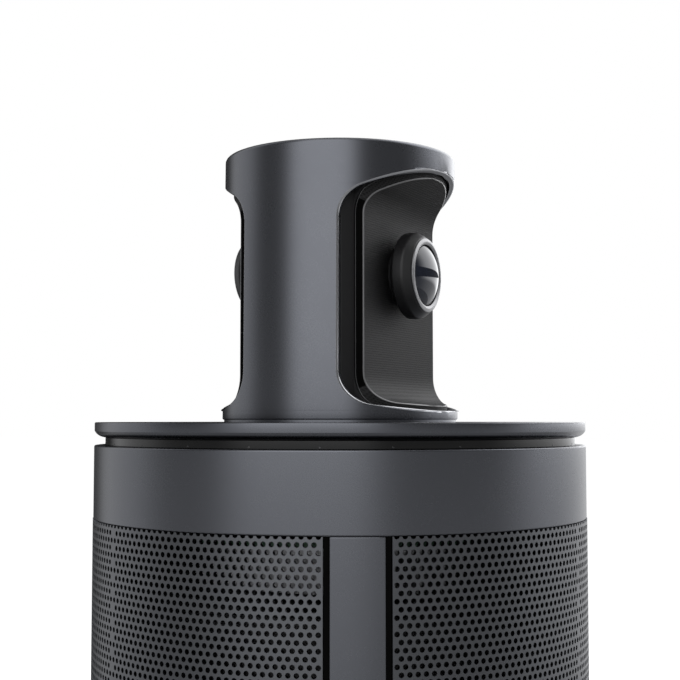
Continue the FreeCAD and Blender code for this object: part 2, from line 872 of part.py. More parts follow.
def make_tripod_insert():
    return ring(tripod_thread_radius, tripod_insert_radius, foot_height, insert_top)


# --- electronics ----------------------------------------------------------------------------------------
def make_main_board():
    board = disc(main_board_radius, main_board_bottom, main_board_top)
    notch = block(-post_notch_half, post_notch_half, -reach, -post_notch_inner,
                  main_board_bottom - past, main_board_top + past)
    for a in rib_angles:
        board = board.cut(spun(notch, a))
    return board


def make_main_chips():
    return [block(x - w / 2, x + w / 2, y - d / 2, y + d / 2, main_board_top, main_board_top + h)
            for x, y, w, d, h in chip_layout]


def make_heat_sink():
    plate = disc(sink_radius, main_board_bottom - sink_plate, main_board_bottom)
    fins = []
    count = int(2 * (sink_radius - fin_margin) / fin_pitch)
    for i in range(count + 1):
        x = (i - count / 2.0) * fin_pitch
        fin = block(x - fin_thickness / 2, x + fin_thickness / 2, -reach, reach, sink_bottom,
                    main_board_bottom - sink_plate)
        fins.append(fin.common(disc(sink_radius - fin_inset, sink_bottom, main_board_bottom)))
    return joined([plate] + fins)


# --- speaker, facing down --------------------------------------------------------------------------------
driver_face = enclosure_bottom
cone_rim = driver_face + basket_thickness + cone_rim_rise
coil_top = cone_rim + cone_depth + coil_length
spider_z = cone_rim + cone_depth + spider_rise
gap_plate_bottom = driver_face + basket_depth
gap_plate_top = gap_plate_bottom + magnet_plate
magnet_top = gap_plate_top + magnet_height


def make_speaker_enclosure():
    walls = ring(enclosure_radius - enclosure_wall, enclosure_radius, enclosure_bottom, enclosure_top)
    roof = disc(enclosure_radius, enclosure_top - enclosure_wall, enclosure_top)
    floor = ring(driver_radius + seam, enclosure_radius, enclosure_bottom + basket_thickness,
                 enclosure_bottom + basket_thickness + enclosure_wall)
    step = ring(driver_mount_radius + seam, enclosure_radius, enclosure_bottom, enclosure_bottom + mount_step)
    return joined([walls, roof, floor, step])


def make_speaker_basket():
    top = gap_plate_bottom
    foot = driver_face + basket_thickness
    rim = magnet_radius - basket_rim_inset
    seat_outer = spider_radius + spider_seat
    flange = ring(surround_outer_radius - surround_lap, driver_mount_radius, driver_face, foot)
    shell = turned([(driver_radius, foot), (magnet_radius, top), (magnet_radius - basket_wall, top),
                    (driver_radius - basket_wall, foot)])
    back = ring(spider_radius + spider_seat_inset, rim, top - basket_back, top)
    seat = ring(spider_radius, seat_outer, spider_z, top)
    plate_rim = ring(coil_radius + basket_plate_gap, rim, top - basket_plate, top)
    half = basket_window_width / 2
    window = block(-half, half, -reach, reach, foot + basket_window_margin, top - basket_window_margin)
    basket = joined([flange, shell, back, seat, plate_rim])
    keep = disc(seat_outer, driver_face, top)
    for i in range(basket_leg_count):
        basket = basket.cut(spun(window, 180.0 / basket_leg_count * i).cut(keep))
    return basket


def make_speaker_magnet():
    gap_outer = coil_radius + coil_wall + coil_gap
    plate_radius = magnet_radius - magnet_plate_inset
    front_plate = ring(gap_outer, plate_radius, gap_plate_bottom, gap_plate_top)
    magnet = ring(gap_outer + magnet_hole_gap, magnet_radius, gap_plate_top, magnet_top)
    back_plate = disc(plate_radius, magnet_top, magnet_top + magnet_plate)
    pole = disc(pole_radius, gap_plate_bottom, magnet_top)
    return joined([front_plate, magnet, back_plate, pole])


def make_speaker_cone():
    t = cone_wall
    neck = coil_radius
    z0 = cone_rim
    z1 = cone_rim + cone_depth
    cone = turned([(surround_inner_radius, z0), (surround_inner_radius, z0 + t), (neck + t, z1 + t),
                   (neck, z1 + t), (neck, z1)])
    pole, ridge = [z1 - depth for depth in cap_depths]
    cap = turned([(0, pole), (cap_radius, ridge), (neck, z1), (neck, z1 + t), (cap_radius, ridge + t),
                  (0, pole + t)])
    coil = ring(neck, neck + coil_wall, z1, coil_top)
    return joined([cone, cap, coil])


def roll(inner, outer, z, rise, wall, waves):
    """Annular diaphragm with half-round rolls between two radii."""
    steps = 8 * waves
    lower = []
    for i in range(steps + 1):
        part = i / steps
        wave = abs(math.sin(math.pi * part * waves)) * rise
        lower.append((inner + (outer - inner) * part, z + wave))
    upper = [(r, h + wall) for r, h in reversed(lower)]
    return turned(lower + upper)


def make_speaker_surround():
    edge = surround_outer_radius - surround_lap - surround_edge_gap
    return roll(surround_inner_radius + touch, edge, cone_rim, surround_rise, surround_wall, 1)


def make_speaker_spider():
    return roll(coil_radius + coil_wall + touch, spider_radius + spider_lap, spider_z - spider_drop,
                spider_wave, spider_wall, spider_waves)


def make_diffuser():
    z1 = enclosure_bottom - diffuser_gap
    plate_z = z1 - diffuser_height
    slope = [(diffuser_radius * share, plate_z + rise) for share, rise in diffuser_slope]
    cone = turned([(0, plate_z), (diffuser_radius, plate_z), (diffuser_radius, plate_z + diffuser_rim)]
                  + slope + [(diffuser_tip, z1), (0, z1)])
    legs = []
    for angle in diffuser_leg_angles:
        a = math.radians(angle)
        legs.append(disc(diffuser_leg_radius, frame_plate_top, plate_z + diffuser_leg_lap,
                         diffuser_leg_circle * math.cos(a), diffuser_leg_circle * math.sin(a)))
    return joined([cone] + legs)


# --- ports ---------------------------------------------------------------------------------------------
board_front = bay_face - bay_wall - port_clear


def make_port_board():
    half = ports_width / 2 + port_board_margin
    post_x = half - port_post_inset
    board = block(-half, half, board_front - port_board_depth, board_front, port_board_height, port_floor)
    posts = [disc(port_post_radius, frame_plate_top, port_board_height, x, board_front - port_board_depth / 2)
             for x in (-post_x, 0, post_x)]
    return joined([board] + posts)


def make_square_socket(name, x, depth, wall, tongue=None):
    """Metal shell with a mouth facing +Y and, where it has one, a tongue inside."""
    width, height = port_sizes[name]
    y1 = bay_face - socket_recess
    y0 = y1 - depth
    shell = block(x - width / 2, x + width / 2, y0, y1, port_floor, port_floor + height)
    shell = shell.cut(block(x - width / 2 + wall, x + width / 2 - wall, y0 + socket_back, y1 + past,
                            port_floor + wall, port_floor + height - wall))
    if tongue:
        half = tongue[0] / 2
        middle = port_floor + height / 2
        thick = tongue[1] / 2
        blade = block(x - half, x + half, y0, y1 - socket_back, middle - thick, middle + thick)
        shell = joined([shell, blade])
    return shell


def make_dc_jack(x):
    width, height = port_sizes["dc_jack"]
    y1 = bay_face - bay_wall - socket_gap
    y0 = y1 - dc_depth
    middle = port_floor + height / 2
    body = block(x - width / 2, x + width / 2, y0, y1, port_floor, port_floor + height)
    body = body.cut(Part.makeCylinder(dc_bore_radius, dc_depth, V(x, y0 + socket_back, middle), V(0, 1, 0)))
    pin = Part.makeCylinder(dc_pin_radius, dc_depth - dc_pin_recess, V(x, y0, middle), V(0, 1, 0))
    return joined([body, pin])


# --- build ---------------------------------------------------------------------------------------------
os.makedirs("parts", exist_ok=True)

save("head_shell", make_head_shell())
save("head_gasket", make_head_gasket())
save("head_chassis", make_head_chassis())
save("camera_flex", make_camera_flex())
for side in "ab":
    save("recess_liner_" + side, make_recess_liner(side))
    save("recess_mesh_" + side, make_recess_mesh(side))
    save("lens_barrel_" + side, make_lens_barrel(side))
    save("lens_trim_" + side, make_lens_trim(side))
    save("lens_glass_" + side, make_lens_glass(side))
    save("lens_optics_" + side, make_lens_optics(side))
    save("sensor_board_" + side, make_sensor_board(side))

save("deck_disc", make_deck_disc())
for name, x, y in button_places():
    save(name, make_button(x, y))
save("tact_switches", make_tact_switches())
save("top_board", make_top_board())
save("halo_ring", make_halo_ring())
save("halo_leds", make_halo_leds())
save("mic_capsules", make_mic_capsules())
save("upper_band", make_upper_band())

for name, panel in make_grilles().items():
    save(name, panel)
for name, rib in zip(["rib_right", "rib_rear", "rib_left"], make_ribs()):
    save(name, rib)
save("rib_gaskets", make_rib_gaskets())

save("lower_band", make_lower_band())
save("deck_carrier", make_deck_carrier())
save("inner_frame", make_inner_frame())
save("base_plate", make_base_plate())
save("base_screws", make_base_screws())
save("foot_ring", make_foot_ring())
save("tripod_insert", make_tripod_insert())

save("main_board", make_main_board())
save("main_chips", make_main_chips())
save("heat_sink", make_heat_sink())

save("speaker_enclosure", make_speaker_enclosure())
save("speaker_basket", make_speaker_basket())
save("speaker_magnet", make_speaker_magnet())
save("speaker_cone", make_speaker_cone())
save("speaker_surround", make_speaker_surround())
save("speaker_spider", make_speaker_spider())
save("diffuser", make_diffuser())

save("port_board", make_port_board())
places = port_places()
save("dc_jack", make_dc_jack(places["dc_jack"]))
sockets = {"usb_c_socket": (usb_depth, usb_wall, usb_tongue),
           "hdmi_socket": (hdmi_depth, hdmi_wall, hdmi_tongue),
           "ethernet_socket": (ethernet_depth, ethernet_wall, None)}
for name, (depth, wall, tongue) in sockets.items():
    save(name, make_square_socket(name, places[name], depth, wall, tongue))
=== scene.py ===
import math

import bmesh
import bpy
from mathutils import Matrix, Vector


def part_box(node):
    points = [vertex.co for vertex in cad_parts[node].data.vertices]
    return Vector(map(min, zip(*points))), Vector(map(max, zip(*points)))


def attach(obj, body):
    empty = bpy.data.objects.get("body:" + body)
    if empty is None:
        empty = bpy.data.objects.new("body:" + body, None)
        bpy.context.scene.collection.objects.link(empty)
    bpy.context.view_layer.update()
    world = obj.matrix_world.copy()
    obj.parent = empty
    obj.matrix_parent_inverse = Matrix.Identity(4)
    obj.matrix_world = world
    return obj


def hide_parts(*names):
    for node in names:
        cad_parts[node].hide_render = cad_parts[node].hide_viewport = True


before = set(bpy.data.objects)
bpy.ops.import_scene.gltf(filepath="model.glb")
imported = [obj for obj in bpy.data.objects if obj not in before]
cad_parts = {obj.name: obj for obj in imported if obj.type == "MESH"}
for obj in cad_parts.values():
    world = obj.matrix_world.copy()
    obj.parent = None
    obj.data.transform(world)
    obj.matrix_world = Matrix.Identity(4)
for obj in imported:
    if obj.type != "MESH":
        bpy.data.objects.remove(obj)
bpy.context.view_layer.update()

MM = 0.001                     # lengths below are in millimetres
HOUSING = "housing"

# --- sizes that the frame does not give: the same values as the part's own source ----------------------
HEAD_HEIGHT = 54.5
HEAD_BASE_RADIUS = 24.3
HEAD_TOP_RADIUS = 23.95
HEAD_WALL = 1.15
HEAD_ROOF = 2.2
HEAD_FOOT = 0.5                # the shell starts this far above the deck
HEAD_EDGE = 0.8
SCOOP = {"half": 10.4, "low": 10.2, "high": 39.2, "low_radius": 6.9, "high_radius": 7.0,
         "low_slope": 8.7, "high_slope": 25.4}
PAD = {"half": 13.8, "low": 9.5, "high": 40.2, "low_radius": 5.8, "high_radius": 5.5,
       "low_slope": 7.0, "high_slope": 33.0}
PAD_THICKNESS = 1.85
PAD_HALF_WIDTH = 17.5
PAD_RADIUS = 22.2
LENS_HEIGHT = {"a": 29.6, "b": 31.5}
LENS_SEAT = {"a": 13.8, "b": 15.4}
LENS_LENGTH = 5.7
LENS_RADIUS = 8.75
LENS_FRONT_RADIUS = 7.55
LENS_GLASS_RADIUS = 5.95
LENS_GLASS_RISE = 1.9
BODY_RADIUS = 50.0
DECK_RADIUS = 49.95
DECK_SIDE = 1.65
DECK_INSET = 2.15
GROOVE_RADIUS = 47.8
HALO_DEPTH = 3.2               # the smoked ring, from the groove inwards
BAND_WALL = 1.8
GRILLE_OUTER = 50.1
GRILLE_WALL = 1.1
HOLE_RADIUS = 0.5
HOLE_SPACING = 1.45            # between neighbours in a row
HOLE_ROW_SPACING = 1.35
RIB_ANGLES = (60.0, 180.0, 300.0)
RIB_WIDTH = 9.5
RIB_WALL = 1.6
GASKET_WIDTH = 1.0
BUTTON_RADIUS = 4.2
BUTTON_GAP = 0.25


def span(node):
    """Lowest and highest corner of a CAD node, in millimetres."""
    low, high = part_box(node)
    return [v / MM for v in low], [v / MM for v in high]


deck_low, deck_high = span("deck_disc")
deck_top = deck_high[2]
deck_bottom = deck_low[2]
band_bottom, band_top = span("upper_band")[0][2], span("upper_band")[1][2]
wrap_bottom, wrap_top = span("grille_front")[0][2], span("grille_front")[1][2]


# --- mesh helpers ---------------------------------------------------------------------------------------
def finish_piece(obj, body=HOUSING, nodes=()):
    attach(obj, body)
    if nodes:
        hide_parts(*nodes)
    return obj


def build(name, points, faces, material, sharp=32.0, weighted=True):
    """Closed, outward-facing mesh object from points in millimetres."""
    mesh = bpy.data.meshes.new(name)
    mesh.from_pydata([(x * MM, y * MM, z * MM) for x, y, z in points], [], faces)
    bm = bmesh.new()
    bm.from_mesh(mesh)
    bmesh.ops.remove_doubles(bm, verts=bm.verts, dist=2e-6)
    bmesh.ops.dissolve_degenerate(bm, edges=bm.edges, dist=1e-7)
    bmesh.ops.recalc_face_normals(bm, faces=bm.faces)
    bm.to_mesh(mesh)
    bm.free()
    mesh.shade_smooth()
    mesh.set_sharp_from_angle(angle=math.radians(sharp))
    mesh.materials.append(material)
    obj = bpy.data.objects.new(name, mesh)
    bpy.context.scene.collection.objects.link(obj)
    if weighted:
        normals = obj.modifiers.new("weighted normals", "WEIGHTED_NORMAL")
        normals.keep_sharp = True
    return obj


def bevel(obj, width, segments=3, angle=38.0):
    """Rounds every sharp edge of a piece, ahead of its weighted normals."""
    rounding = obj.modifiers.new("edge rounding", "BEVEL")
    rounding.width = width * MM
    rounding.segments = segments
    rounding.limit_method = "ANGLE"
    rounding.angle_limit = math.radians(angle)
    rounding.use_clamp_overlap = False
    rounding.harden_normals = False
    while obj.modifiers[0] != rounding:
        bpy.context.view_layer.objects.active = obj
        obj.modifiers.move(len(obj.modifiers) - 1, 0)
    return obj


def eased(corners, radius, steps=4, closed=True):
    """An outline whose corners are rounded as far as their two sides allow."""
    rounded = []
    count = len(corners)
    for i, corner in enumerate(corners):
        here = Vector(corner)
        if not closed and i in (0, count - 1):
            rounded.append(tuple(here))
            continue
        back = Vector(corners[i - 1]) - here
        ahead = Vector(corners[(i + 1) % count]) - here
        reach = min(radius, back.length * 0.45, ahead.length * 0.45)
        if back.angle(-ahead, 0.0) < math.radians(8):
            rounded.append(tuple(here))
            continue
        start = here + back.normalized() * reach
        end = here + ahead.normalized() * reach
        for k in range(steps + 1):
            t = k / steps
            rounded.append(tuple(start * (1 - t) ** 2 + here * 2 * t * (1 - t) + end * t ** 2))
    return rounded


def turned(profile, segments=192, closed=True):
    """Points and faces of (radius, height) corners turned about Z."""
    points = []
    faces = []
    count = len(profile)
    for i in range(segments):
        angle = 2 * math.pi * i / segments
        points += [(r * math.sin(angle), -r * math.cos(angle), z) for r, z in profile]
    for i in range(segments):
        a = i * count
        b = (i + 1) % segments * count
        for k in range(count if closed else count - 1):
            n = (k + 1) % count
            faces.append((a + k, b + k, b + n, a + n))
    return points, faces


def moved(points, matrix):
    return [tuple(matrix @ Vector(p)) for p in points]


def on_lens_axis(side):
    """Takes +Z of a turned piece onto a lens's axis, measured from the head's own axis."""
    turn = 180.0 if side == "b" else 0.0
    height = deck_top + LENS_HEIGHT[side]
    tilt = Matrix.Rotation(math.radians(90.0), 4, "X")
    return Matrix.Rotation(math.radians(turn), 4, "Z") @ Matrix.Translation((0, 0, height)) @ tilt


def plain_nodes(nodes, material):
    """Gives the finish to CAD nodes whose shape stays."""
    for node in nodes:
        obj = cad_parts[node]
        obj.data.materials.clear()
        obj.data.materials.append(material)


# --- shader groups --------------------------------------------------------------------------------------
def new_group(name, inputs, outputs):
    group = bpy.data.node_groups.new(name, "ShaderNodeTree")
    for label, kind, default in inputs:
        socket = group.interface.new_socket(label, in_out="INPUT", socket_type=kind)
        socket.default_value = default
    for label, kind in outputs:
        group.interface.new_socket(label, in_out="OUTPUT", socket_type=kind)
    start = group.nodes.new("NodeGroupInput")
    end = group.nodes.new("NodeGroupOutput")
    return group, start, end


def math_node(tree, operation, a, b=None, c=None, clamp=False):
    node = tree.nodes.new("ShaderNodeMath")
    node.operation = operation
    node.use_clamp = clamp
    for index, value in enumerate((a, b, c)):
        if value is None:
            continue
        if isinstance(value, (int, float)):
            node.inputs[index].default_value = value
        else:
            tree.links.new(value, node.inputs[index])
    return node.outputs[0]


def object_coordinates(tree):
    return tree.nodes.new("ShaderNodeTexCoord").outputs["Object"]


def noise(tree, vector, scale, detail=2.0, roughness=0.5):
    node = tree.nodes.new("ShaderNodeTexNoise")
    tree.links.new(vector, node.inputs["Vector"])
    if isinstance(scale, (int, float)):
        node.inputs["Scale"].default_value = scale
    else:
        tree.links.new(scale, node.inputs["Scale"])
    node.inputs["Detail"].default_value = detail
    node.inputs["Roughness"].default_value = roughness
    return node.outputs["Fac"]


def make_grain_group():
    """Fine bead-blasted or spark-eroded grain: a height and a small change of roughness."""
    group, start, end = new_group(
        "fine grain",
        [("Size", "NodeSocketFloat", 0.12), ("Roughness", "NodeSocketFloat", 0.4),
         ("Spread", "NodeSocketFloat", 0.06)],
        [("Height", "NodeSocketFloat"), ("Roughness", "NodeSocketFloat")],
    )
    where = object_coordinates(group)
    scale = math_node(group, "DIVIDE", 1000.0, start.outputs["Size"])
    fine = noise(group, where, scale, 1.0, 0.6)
    coarse = noise(group, where, math_node(group, "MULTIPLY", scale, 0.31), 2.0, 0.5)
    height = math_node(group, "MULTIPLY_ADD", coarse, 0.5, math_node(group, "MULTIPLY", fine, 0.5))
    group.links.new(height, end.inputs["Height"])
    centred = math_node(group, "SUBTRACT", height, 0.5)
    shift = math_node(group, "MULTIPLY", centred, start.outputs["Spread"])
    group.links.new(math_node(group, "ADD", start.outputs["Roughness"], shift), end.inputs["Roughness"])
    return group


def make_handling_group():
    """Broad, faint smudges and dust: a mask between 0 and 1."""
    group, start, end = new_group(
        "handling smudges",
        [("Size", "NodeSocketFloat", 14.0), ("Amount", "NodeSocketFloat", 0.5)],
        [("Mask", "NodeSocketFloat")],
    )
    where = object_coordinates(group)
    scale = math_node(group, "DIVIDE", 1000.0, start.outputs["Size"])
    broad = noise(group, where, scale, 4.0, 0.62)
    streak = noise(group, where, math_node(group, "MULTIPLY", scale, 5.3), 3.0, 0.7)
    mixed = math_node(group, "MULTIPLY_ADD", streak, 0.35, math_node(group, "MULTIPLY", broad, 0.65))
    cut = math_node(group, "MULTIPLY_ADD", mixed, 2.6, -0.9, clamp=True)
    group.links.new(math_node(group, "MULTIPLY", cut, start.outputs["Amount"]), end.inputs["Mask"])
    return group


GRAIN = make_grain_group()
HANDLING = make_handling_group()


# --- materials ------------------------------------------------------------------------------------------
def new_material(name):
    material = bpy.data.materials.new(name)
    material.use_nodes = True
    tree = material.node_tree
    return material, tree, tree.nodes["Principled BSDF"]


def use_group(tree, group, **values):
    node = tree.nodes.new("ShaderNodeGroup")
    node.node_tree = group
    for label, value in values.items():
        node.inputs[label].default_value = value
    return node


def bump(tree, shader, height, strength, distance_mm):
    node = tree.nodes.new("ShaderNodeBump")
    node.inputs["Strength"].default_value = strength
    node.inputs["Distance"].default_value = distance_mm * MM
    tree.links.new(height, node.inputs["Height"])
    tree.links.new(node.outputs["Normal"], shader.inputs["Normal"])
    return node


def blend_colour(tree, factor, first, second):
    node = tree.nodes.new("ShaderNodeMix")
    node.data_type = "RGBA"
    tree.links.new(factor, node.inputs["Factor"])
    node.inputs["A"].default_value = (*first, 1.0)
    node.inputs["B"].default_value = (*second, 1.0)
    return node.outputs["Result"]


def grained(name, colour, smudged, metallic, roughness, size=0.12, spread=0.06, relief=0.004, smudge=0.5,
            specular=0.5, coat=0.0, coat_roughness=0.1):
    """A solid finish with fine grain in its surface and faint smudges in its colour."""
    material, tree, shader = new_material(name)
    grain = use_group(tree, GRAIN, Size=size, Roughness=roughness, Spread=spread)
    marks = use_group(tree, HANDLING, Size=14.0, Amount=smudge)
    tree.links.new(blend_colour(tree, marks.outputs["Mask"], colour, smudged), shader.inputs["Base Color"])
    lifted = math_node(tree, "MULTIPLY_ADD", marks.outputs["Mask"], 0.05, grain.outputs["Roughness"])
    tree.links.new(lifted, shader.inputs["Roughness"])
    shader.inputs["Metallic"].default_value = metallic
    shader.inputs["Specular IOR Level"].default_value = specular
    shader.inputs["Coat Weight"].default_value = coat
    shader.inputs["Coat Roughness"].default_value = coat_roughness
    bump(tree, shader, grain.outputs["Height"], 0.5, relief)
    return material


def mesh_material():
    """Black lacquered micro-perforated sheet: staggered dots half a millimetre apart, each hole painted
    darker for the shade inside it.
    """
    material, tree, shader = new_material("micro perforated black")
    where = object_coordinates(tree)
    split = tree.nodes.new("ShaderNodeSeparateXYZ")
    tree.links.new(where, split.inputs[0])
    pitch = 0.52 * MM
    across = math_node(tree, "DIVIDE", split.outputs["X"], pitch)
    outward = math_node(tree, "MULTIPLY", math_node(tree, "ABSOLUTE", split.outputs["Y"]), 0.8)
    row_pitch = pitch * 0.866
    climb = math_node(tree, "DIVIDE", split.outputs["Z"], row_pitch)
    climb = math_node(tree, "ADD", climb, math_node(tree, "DIVIDE", outward, row_pitch * 2.0))
    row = math_node(tree, "FLOOR", climb)
    shift = math_node(tree, "MULTIPLY", math_node(tree, "MODULO", row, 2.0), 0.5)
    u = math_node(tree, "SUBTRACT", math_node(tree, "FRACT", math_node(tree, "ADD", across, shift)), 0.5)
    v = math_node(tree, "SUBTRACT", math_node(tree, "FRACT", climb), 0.5)
    square = math_node(tree, "ADD", math_node(tree, "MULTIPLY", u, u), math_node(tree, "MULTIPLY", v, v))
    away = math_node(tree, "SQRT", square)
    hole = math_node(tree, "MULTIPLY_ADD", away, -9.0, 3.1, clamp=True)
    # painted shade: the holes are drawn darker than the sheet for the shade inside them
    sheet_colour = blend_colour(tree, hole, (0.010, 0.010, 0.0105), (0.002, 0.002, 0.002))
    tree.links.new(sheet_colour, shader.inputs["Base Color"])
    shader.inputs["Roughness"].default_value = 0.6
    shader.inputs["Specular IOR Level"].default_value = 0.15
    depth = math_node(tree, "SUBTRACT", 1.0, hole)
    bump(tree, shader, depth, 0.7, 0.08)
    return material


def glass_material():
    """Opaque dome painted dark for the shade and the black cells inside the lens behind it, with a faint blue
    in it.
    """
    material, tree, shader = new_material("front glass painted with interior shade")
    marks = use_group(tree, HANDLING, Size=3.0, Amount=0.35)
    fine = math_node(tree, "MULTIPLY_ADD", marks.outputs["Mask"], 0.02, 0.008)
    tree.links.new(fine, shader.inputs["Roughness"])
    # painted shade: the dark tint stands in for the shaded inside of the lens seen through the glass
    tint = blend_colour(tree, marks.outputs["Mask"], (0.004, 0.006, 0.012), (0.020, 0.022, 0.034))
    tree.links.new(tint, shader.inputs["Base Color"])
    shader.inputs["IOR"].default_value = 1.52
    return material


def coated_element_material():
    """Inner lens element with a blue-violet coating whose tone changes in soft patches over it."""
    material, tree, shader = new_material("blue coated element")
    where = object_coordinates(tree)
    tone = noise(tree, where, 260.0, 1.0, 0.4)
    tint = blend_colour(tree, tone, (0.006, 0.010, 0.022), (0.022, 0.020, 0.040))
    tree.links.new(tint, shader.inputs["Base Color"])
    shader.inputs["Roughness"].default_value = 0.06
    shader.inputs["Specular IOR Level"].default_value = 0.8
    shader.inputs["Coat Weight"].default_value = 0.8
    shader.inputs["Coat Roughness"].default_value = 0.03
    return material


def board_material():
    """Green solder mask with faint copper tracks under it."""
    material, tree, shader = new_material("solder mask")
    where = object_coordinates(tree)
    brick = tree.nodes.new("ShaderNodeTexBrick")
    tree.links.new(where, brick.inputs["Vector"])
    brick.inputs["Scale"].default_value = 420.0
    brick.inputs["Color1"].default_value = (0.010, 0.060, 0.030, 1.0)
    brick.inputs["Color2"].default_value = (0.014, 0.085, 0.040, 1.0)
    brick.inputs["Mortar"].default_value = (0.030, 0.120, 0.050, 1.0)
    brick.inputs["Mortar Size"].default_value = 0.06
    tree.links.new(brick.outputs["Color"], shader.inputs["Base Color"])
    shader.inputs["Roughness"].default_value = 0.35
    bump(tree, shader, brick.outputs["Fac"], 0.3, 0.03)
    return material


SHELL = grained("satin graphite metal", (0.114, 0.118, 0.130), (0.104, 0.108, 0.120), 1.0, 0.27,
                size=0.14)
# painted highlight: a brighter copy of the shell metal for the rounded lip edges, standing in for the
# highlight along the lips
SHELL_LIP_HIGHLIGHT = grained("shell lip painted highlight", (0.40, 0.405, 0.42), (0.36, 0.365, 0.38), 1.0, 0.24, size=0.14)
WRAP = grained("satin graphite wrap", (0.112, 0.116, 0.124), (0.100, 0.104, 0.112), 1.0, 0.33, size=0.16)
LOWER = grained("spark textured plastic", (0.040, 0.041, 0.045), (0.050, 0.051, 0.055), 0.0, 0.55,
                size=0.35, relief=0.02, spread=0.1)
LINER = grained("matte black liner", (0.007, 0.007, 0.0075), (0.010, 0.010, 0.0105), 0.0, 0.55, size=0.3,
                relief=0.01, specular=0.2)
DEEP_BLACK = grained("deep black", (0.0015, 0.0015, 0.0015), (0.0025, 0.0025, 0.0025), 0.0, 0.9,
                     size=0.3, relief=0.01, specular=0.02)
PAD_MESH = mesh_material()
# painted highlight: a lighter grey than the black pad for its rounded rim, standing in for the thin bright
# lines along the rim
PAD_RIM_HIGHLIGHT = grained("pad rim painted highlight", (0.075, 0.075, 0.078), (0.085, 0.085, 0.088), 0.0, 0.3, size=0.2,
                  relief=0.003, specular=0.8)
BARREL = grained("satin black barrel", (0.007, 0.007, 0.0075), (0.010, 0.010, 0.0105), 0.0, 0.4,
                 size=0.12, relief=0.003, specular=0.3)
TRIM = grained("satin grey trim", (0.24, 0.24, 0.245), (0.20, 0.20, 0.205), 1.0, 0.36, size=0.1,
               relief=0.003)
GLASS = glass_material()
ELEMENT = coated_element_material()
CELL = grained("blackened lens cell", (0.006, 0.006, 0.007), (0.010, 0.010, 0.012), 0.0, 0.35, size=0.15,
               relief=0.003)
SMOKED = grained("smoked ring", (0.003, 0.003, 0.003), (0.005, 0.005, 0.005), 0.0, 0.12, size=0.6,
                 spread=0.02, relief=0.001, specular=0.3)
KEY = grained("satin key cap", (0.045, 0.046, 0.050), (0.058, 0.059, 0.063), 0.0, 0.42, size=0.2,
              relief=0.006)
MARK = grained("pale printed mark", (0.52, 0.52, 0.53), (0.44, 0.44, 0.45), 0.0, 0.45, size=0.2,
               relief=0.002)
RUBBER = grained("soft foot rubber", (0.014, 0.014, 0.014), (0.030, 0.029, 0.028), 0.0, 0.75, size=0.5,
                 relief=0.02, smudge=0.8)
STEEL = grained("plated steel", (0.52, 0.52, 0.54), (0.42, 0.42, 0.43), 1.0, 0.28, size=0.2, relief=0.004)
DARK_STEEL = grained("black zinc steel", (0.09, 0.09, 0.095), (0.14, 0.135, 0.13), 1.0, 0.36, size=0.2)
BRASS = grained("turned brass", (0.62, 0.46, 0.20), (0.50, 0.37, 0.17), 1.0, 0.28, size=0.2)
CAST = grained("cast aluminium", (0.42, 0.42, 0.43), (0.34, 0.34, 0.35), 1.0, 0.5, size=0.5, relief=0.02)
EPOXY = grained("moulded epoxy", (0.014, 0.014, 0.015), (0.024, 0.024, 0.025), 0.0, 0.5, size=0.25,
                relief=0.008)
BOARD = board_material()
FLEX = grained("polyimide film", (0.42, 0.20, 0.05), (0.34, 0.15, 0.04), 0.0, 0.32, size=0.8,
               relief=0.002)
LED = grained("clear led", (0.72, 0.72, 0.66), (0.66, 0.66, 0.58), 0.0, 0.2, size=0.3, relief=0.002)
PAPER = grained("coated cone pulp", (0.020, 0.020, 0.020), (0.034, 0.033, 0.032), 0.0, 0.8, size=0.7,
                relief=0.04)
CLOTH = grained("impregnated cloth", (0.38, 0.26, 0.08), (0.30, 0.20, 0.06), 0.0, 0.8, size=0.5,
                relief=0.03)
MAGNET = grained("nickel plated magnet", (0.32, 0.32, 0.32), (0.24, 0.24, 0.24), 1.0, 0.35, size=0.3)
FRAME_PLASTIC = grained("moulded frame plastic", (0.020, 0.020, 0.022), (0.030, 0.030, 0.032), 0.0, 0.5,
                        size=0.4, relief=0.012)


# --- camera head ----------------------------------------------------------------------------------------
def between(start, end, share):
    return (start[0] + (end[0] - start[0]) * share, start[1] + (end[1] - start[1]) * share)


def scoop_profile(half, low, high, low_radius, high_radius, low_slope, high_slope, edge, inset=0.0,
                  steps=(14, 14, 16, 14, 14)):
    """(distance from the axis, height above the deck) from the lower lip to the upper one.

    edge is the distance at which both lips end; a sloping side wall gives a function of height."""
    a = math.radians(90.0 - low_slope)
    b = math.radians(90.0 - high_slope)
    r_low = low_radius + inset
    r_high = high_radius + inset
    low_end = (half + low_radius - r_low * math.cos(a), low - r_low * math.sin(a))
    high_end = (half + high_radius - r_high * math.cos(b), high + r_high * math.sin(b))

    def line(start, slope, sign):
        height = start[1]
        for _ in range(6):
            far = edge(height)
            height = start[1] + sign * (far - start[0]) * math.tan(math.radians(slope))
        return (far, height)

    low_far = line(low_end, low_slope, -1)
    high_far = line(high_end, high_slope, 1)
    points = []
    for k in range(steps[0]):
        t = (k / steps[0]) ** 1.6
        points.append(between(low_far, low_end, t))
    for k in range(steps[1]):
        t = a * (1 - k / steps[1])
        points.append((half + low_radius - r_low * math.cos(t), low - r_low * math.sin(t)))
    bottom, top = low, high
    for k in range(steps[2]):
        points.append((half - inset, bottom + (top - bottom) * k / steps[2]))
    for k in range(steps[3]):
        t = b * k / steps[3]
        points.append((half + high_radius - r_high * math.cos(t), high + r_high * math.sin(t)))
    for k in range(steps[4] + 1):
        t = 1 - (1 - k / steps[4]) ** 1.6
        points.append(between(high_end, high_far, t))
    return points


def head_radius(height):
    return HEAD_BASE_RADIUS + (HEAD_TOP_RADIUS - HEAD_BASE_RADIUS) * height / HEAD_HEIGHT


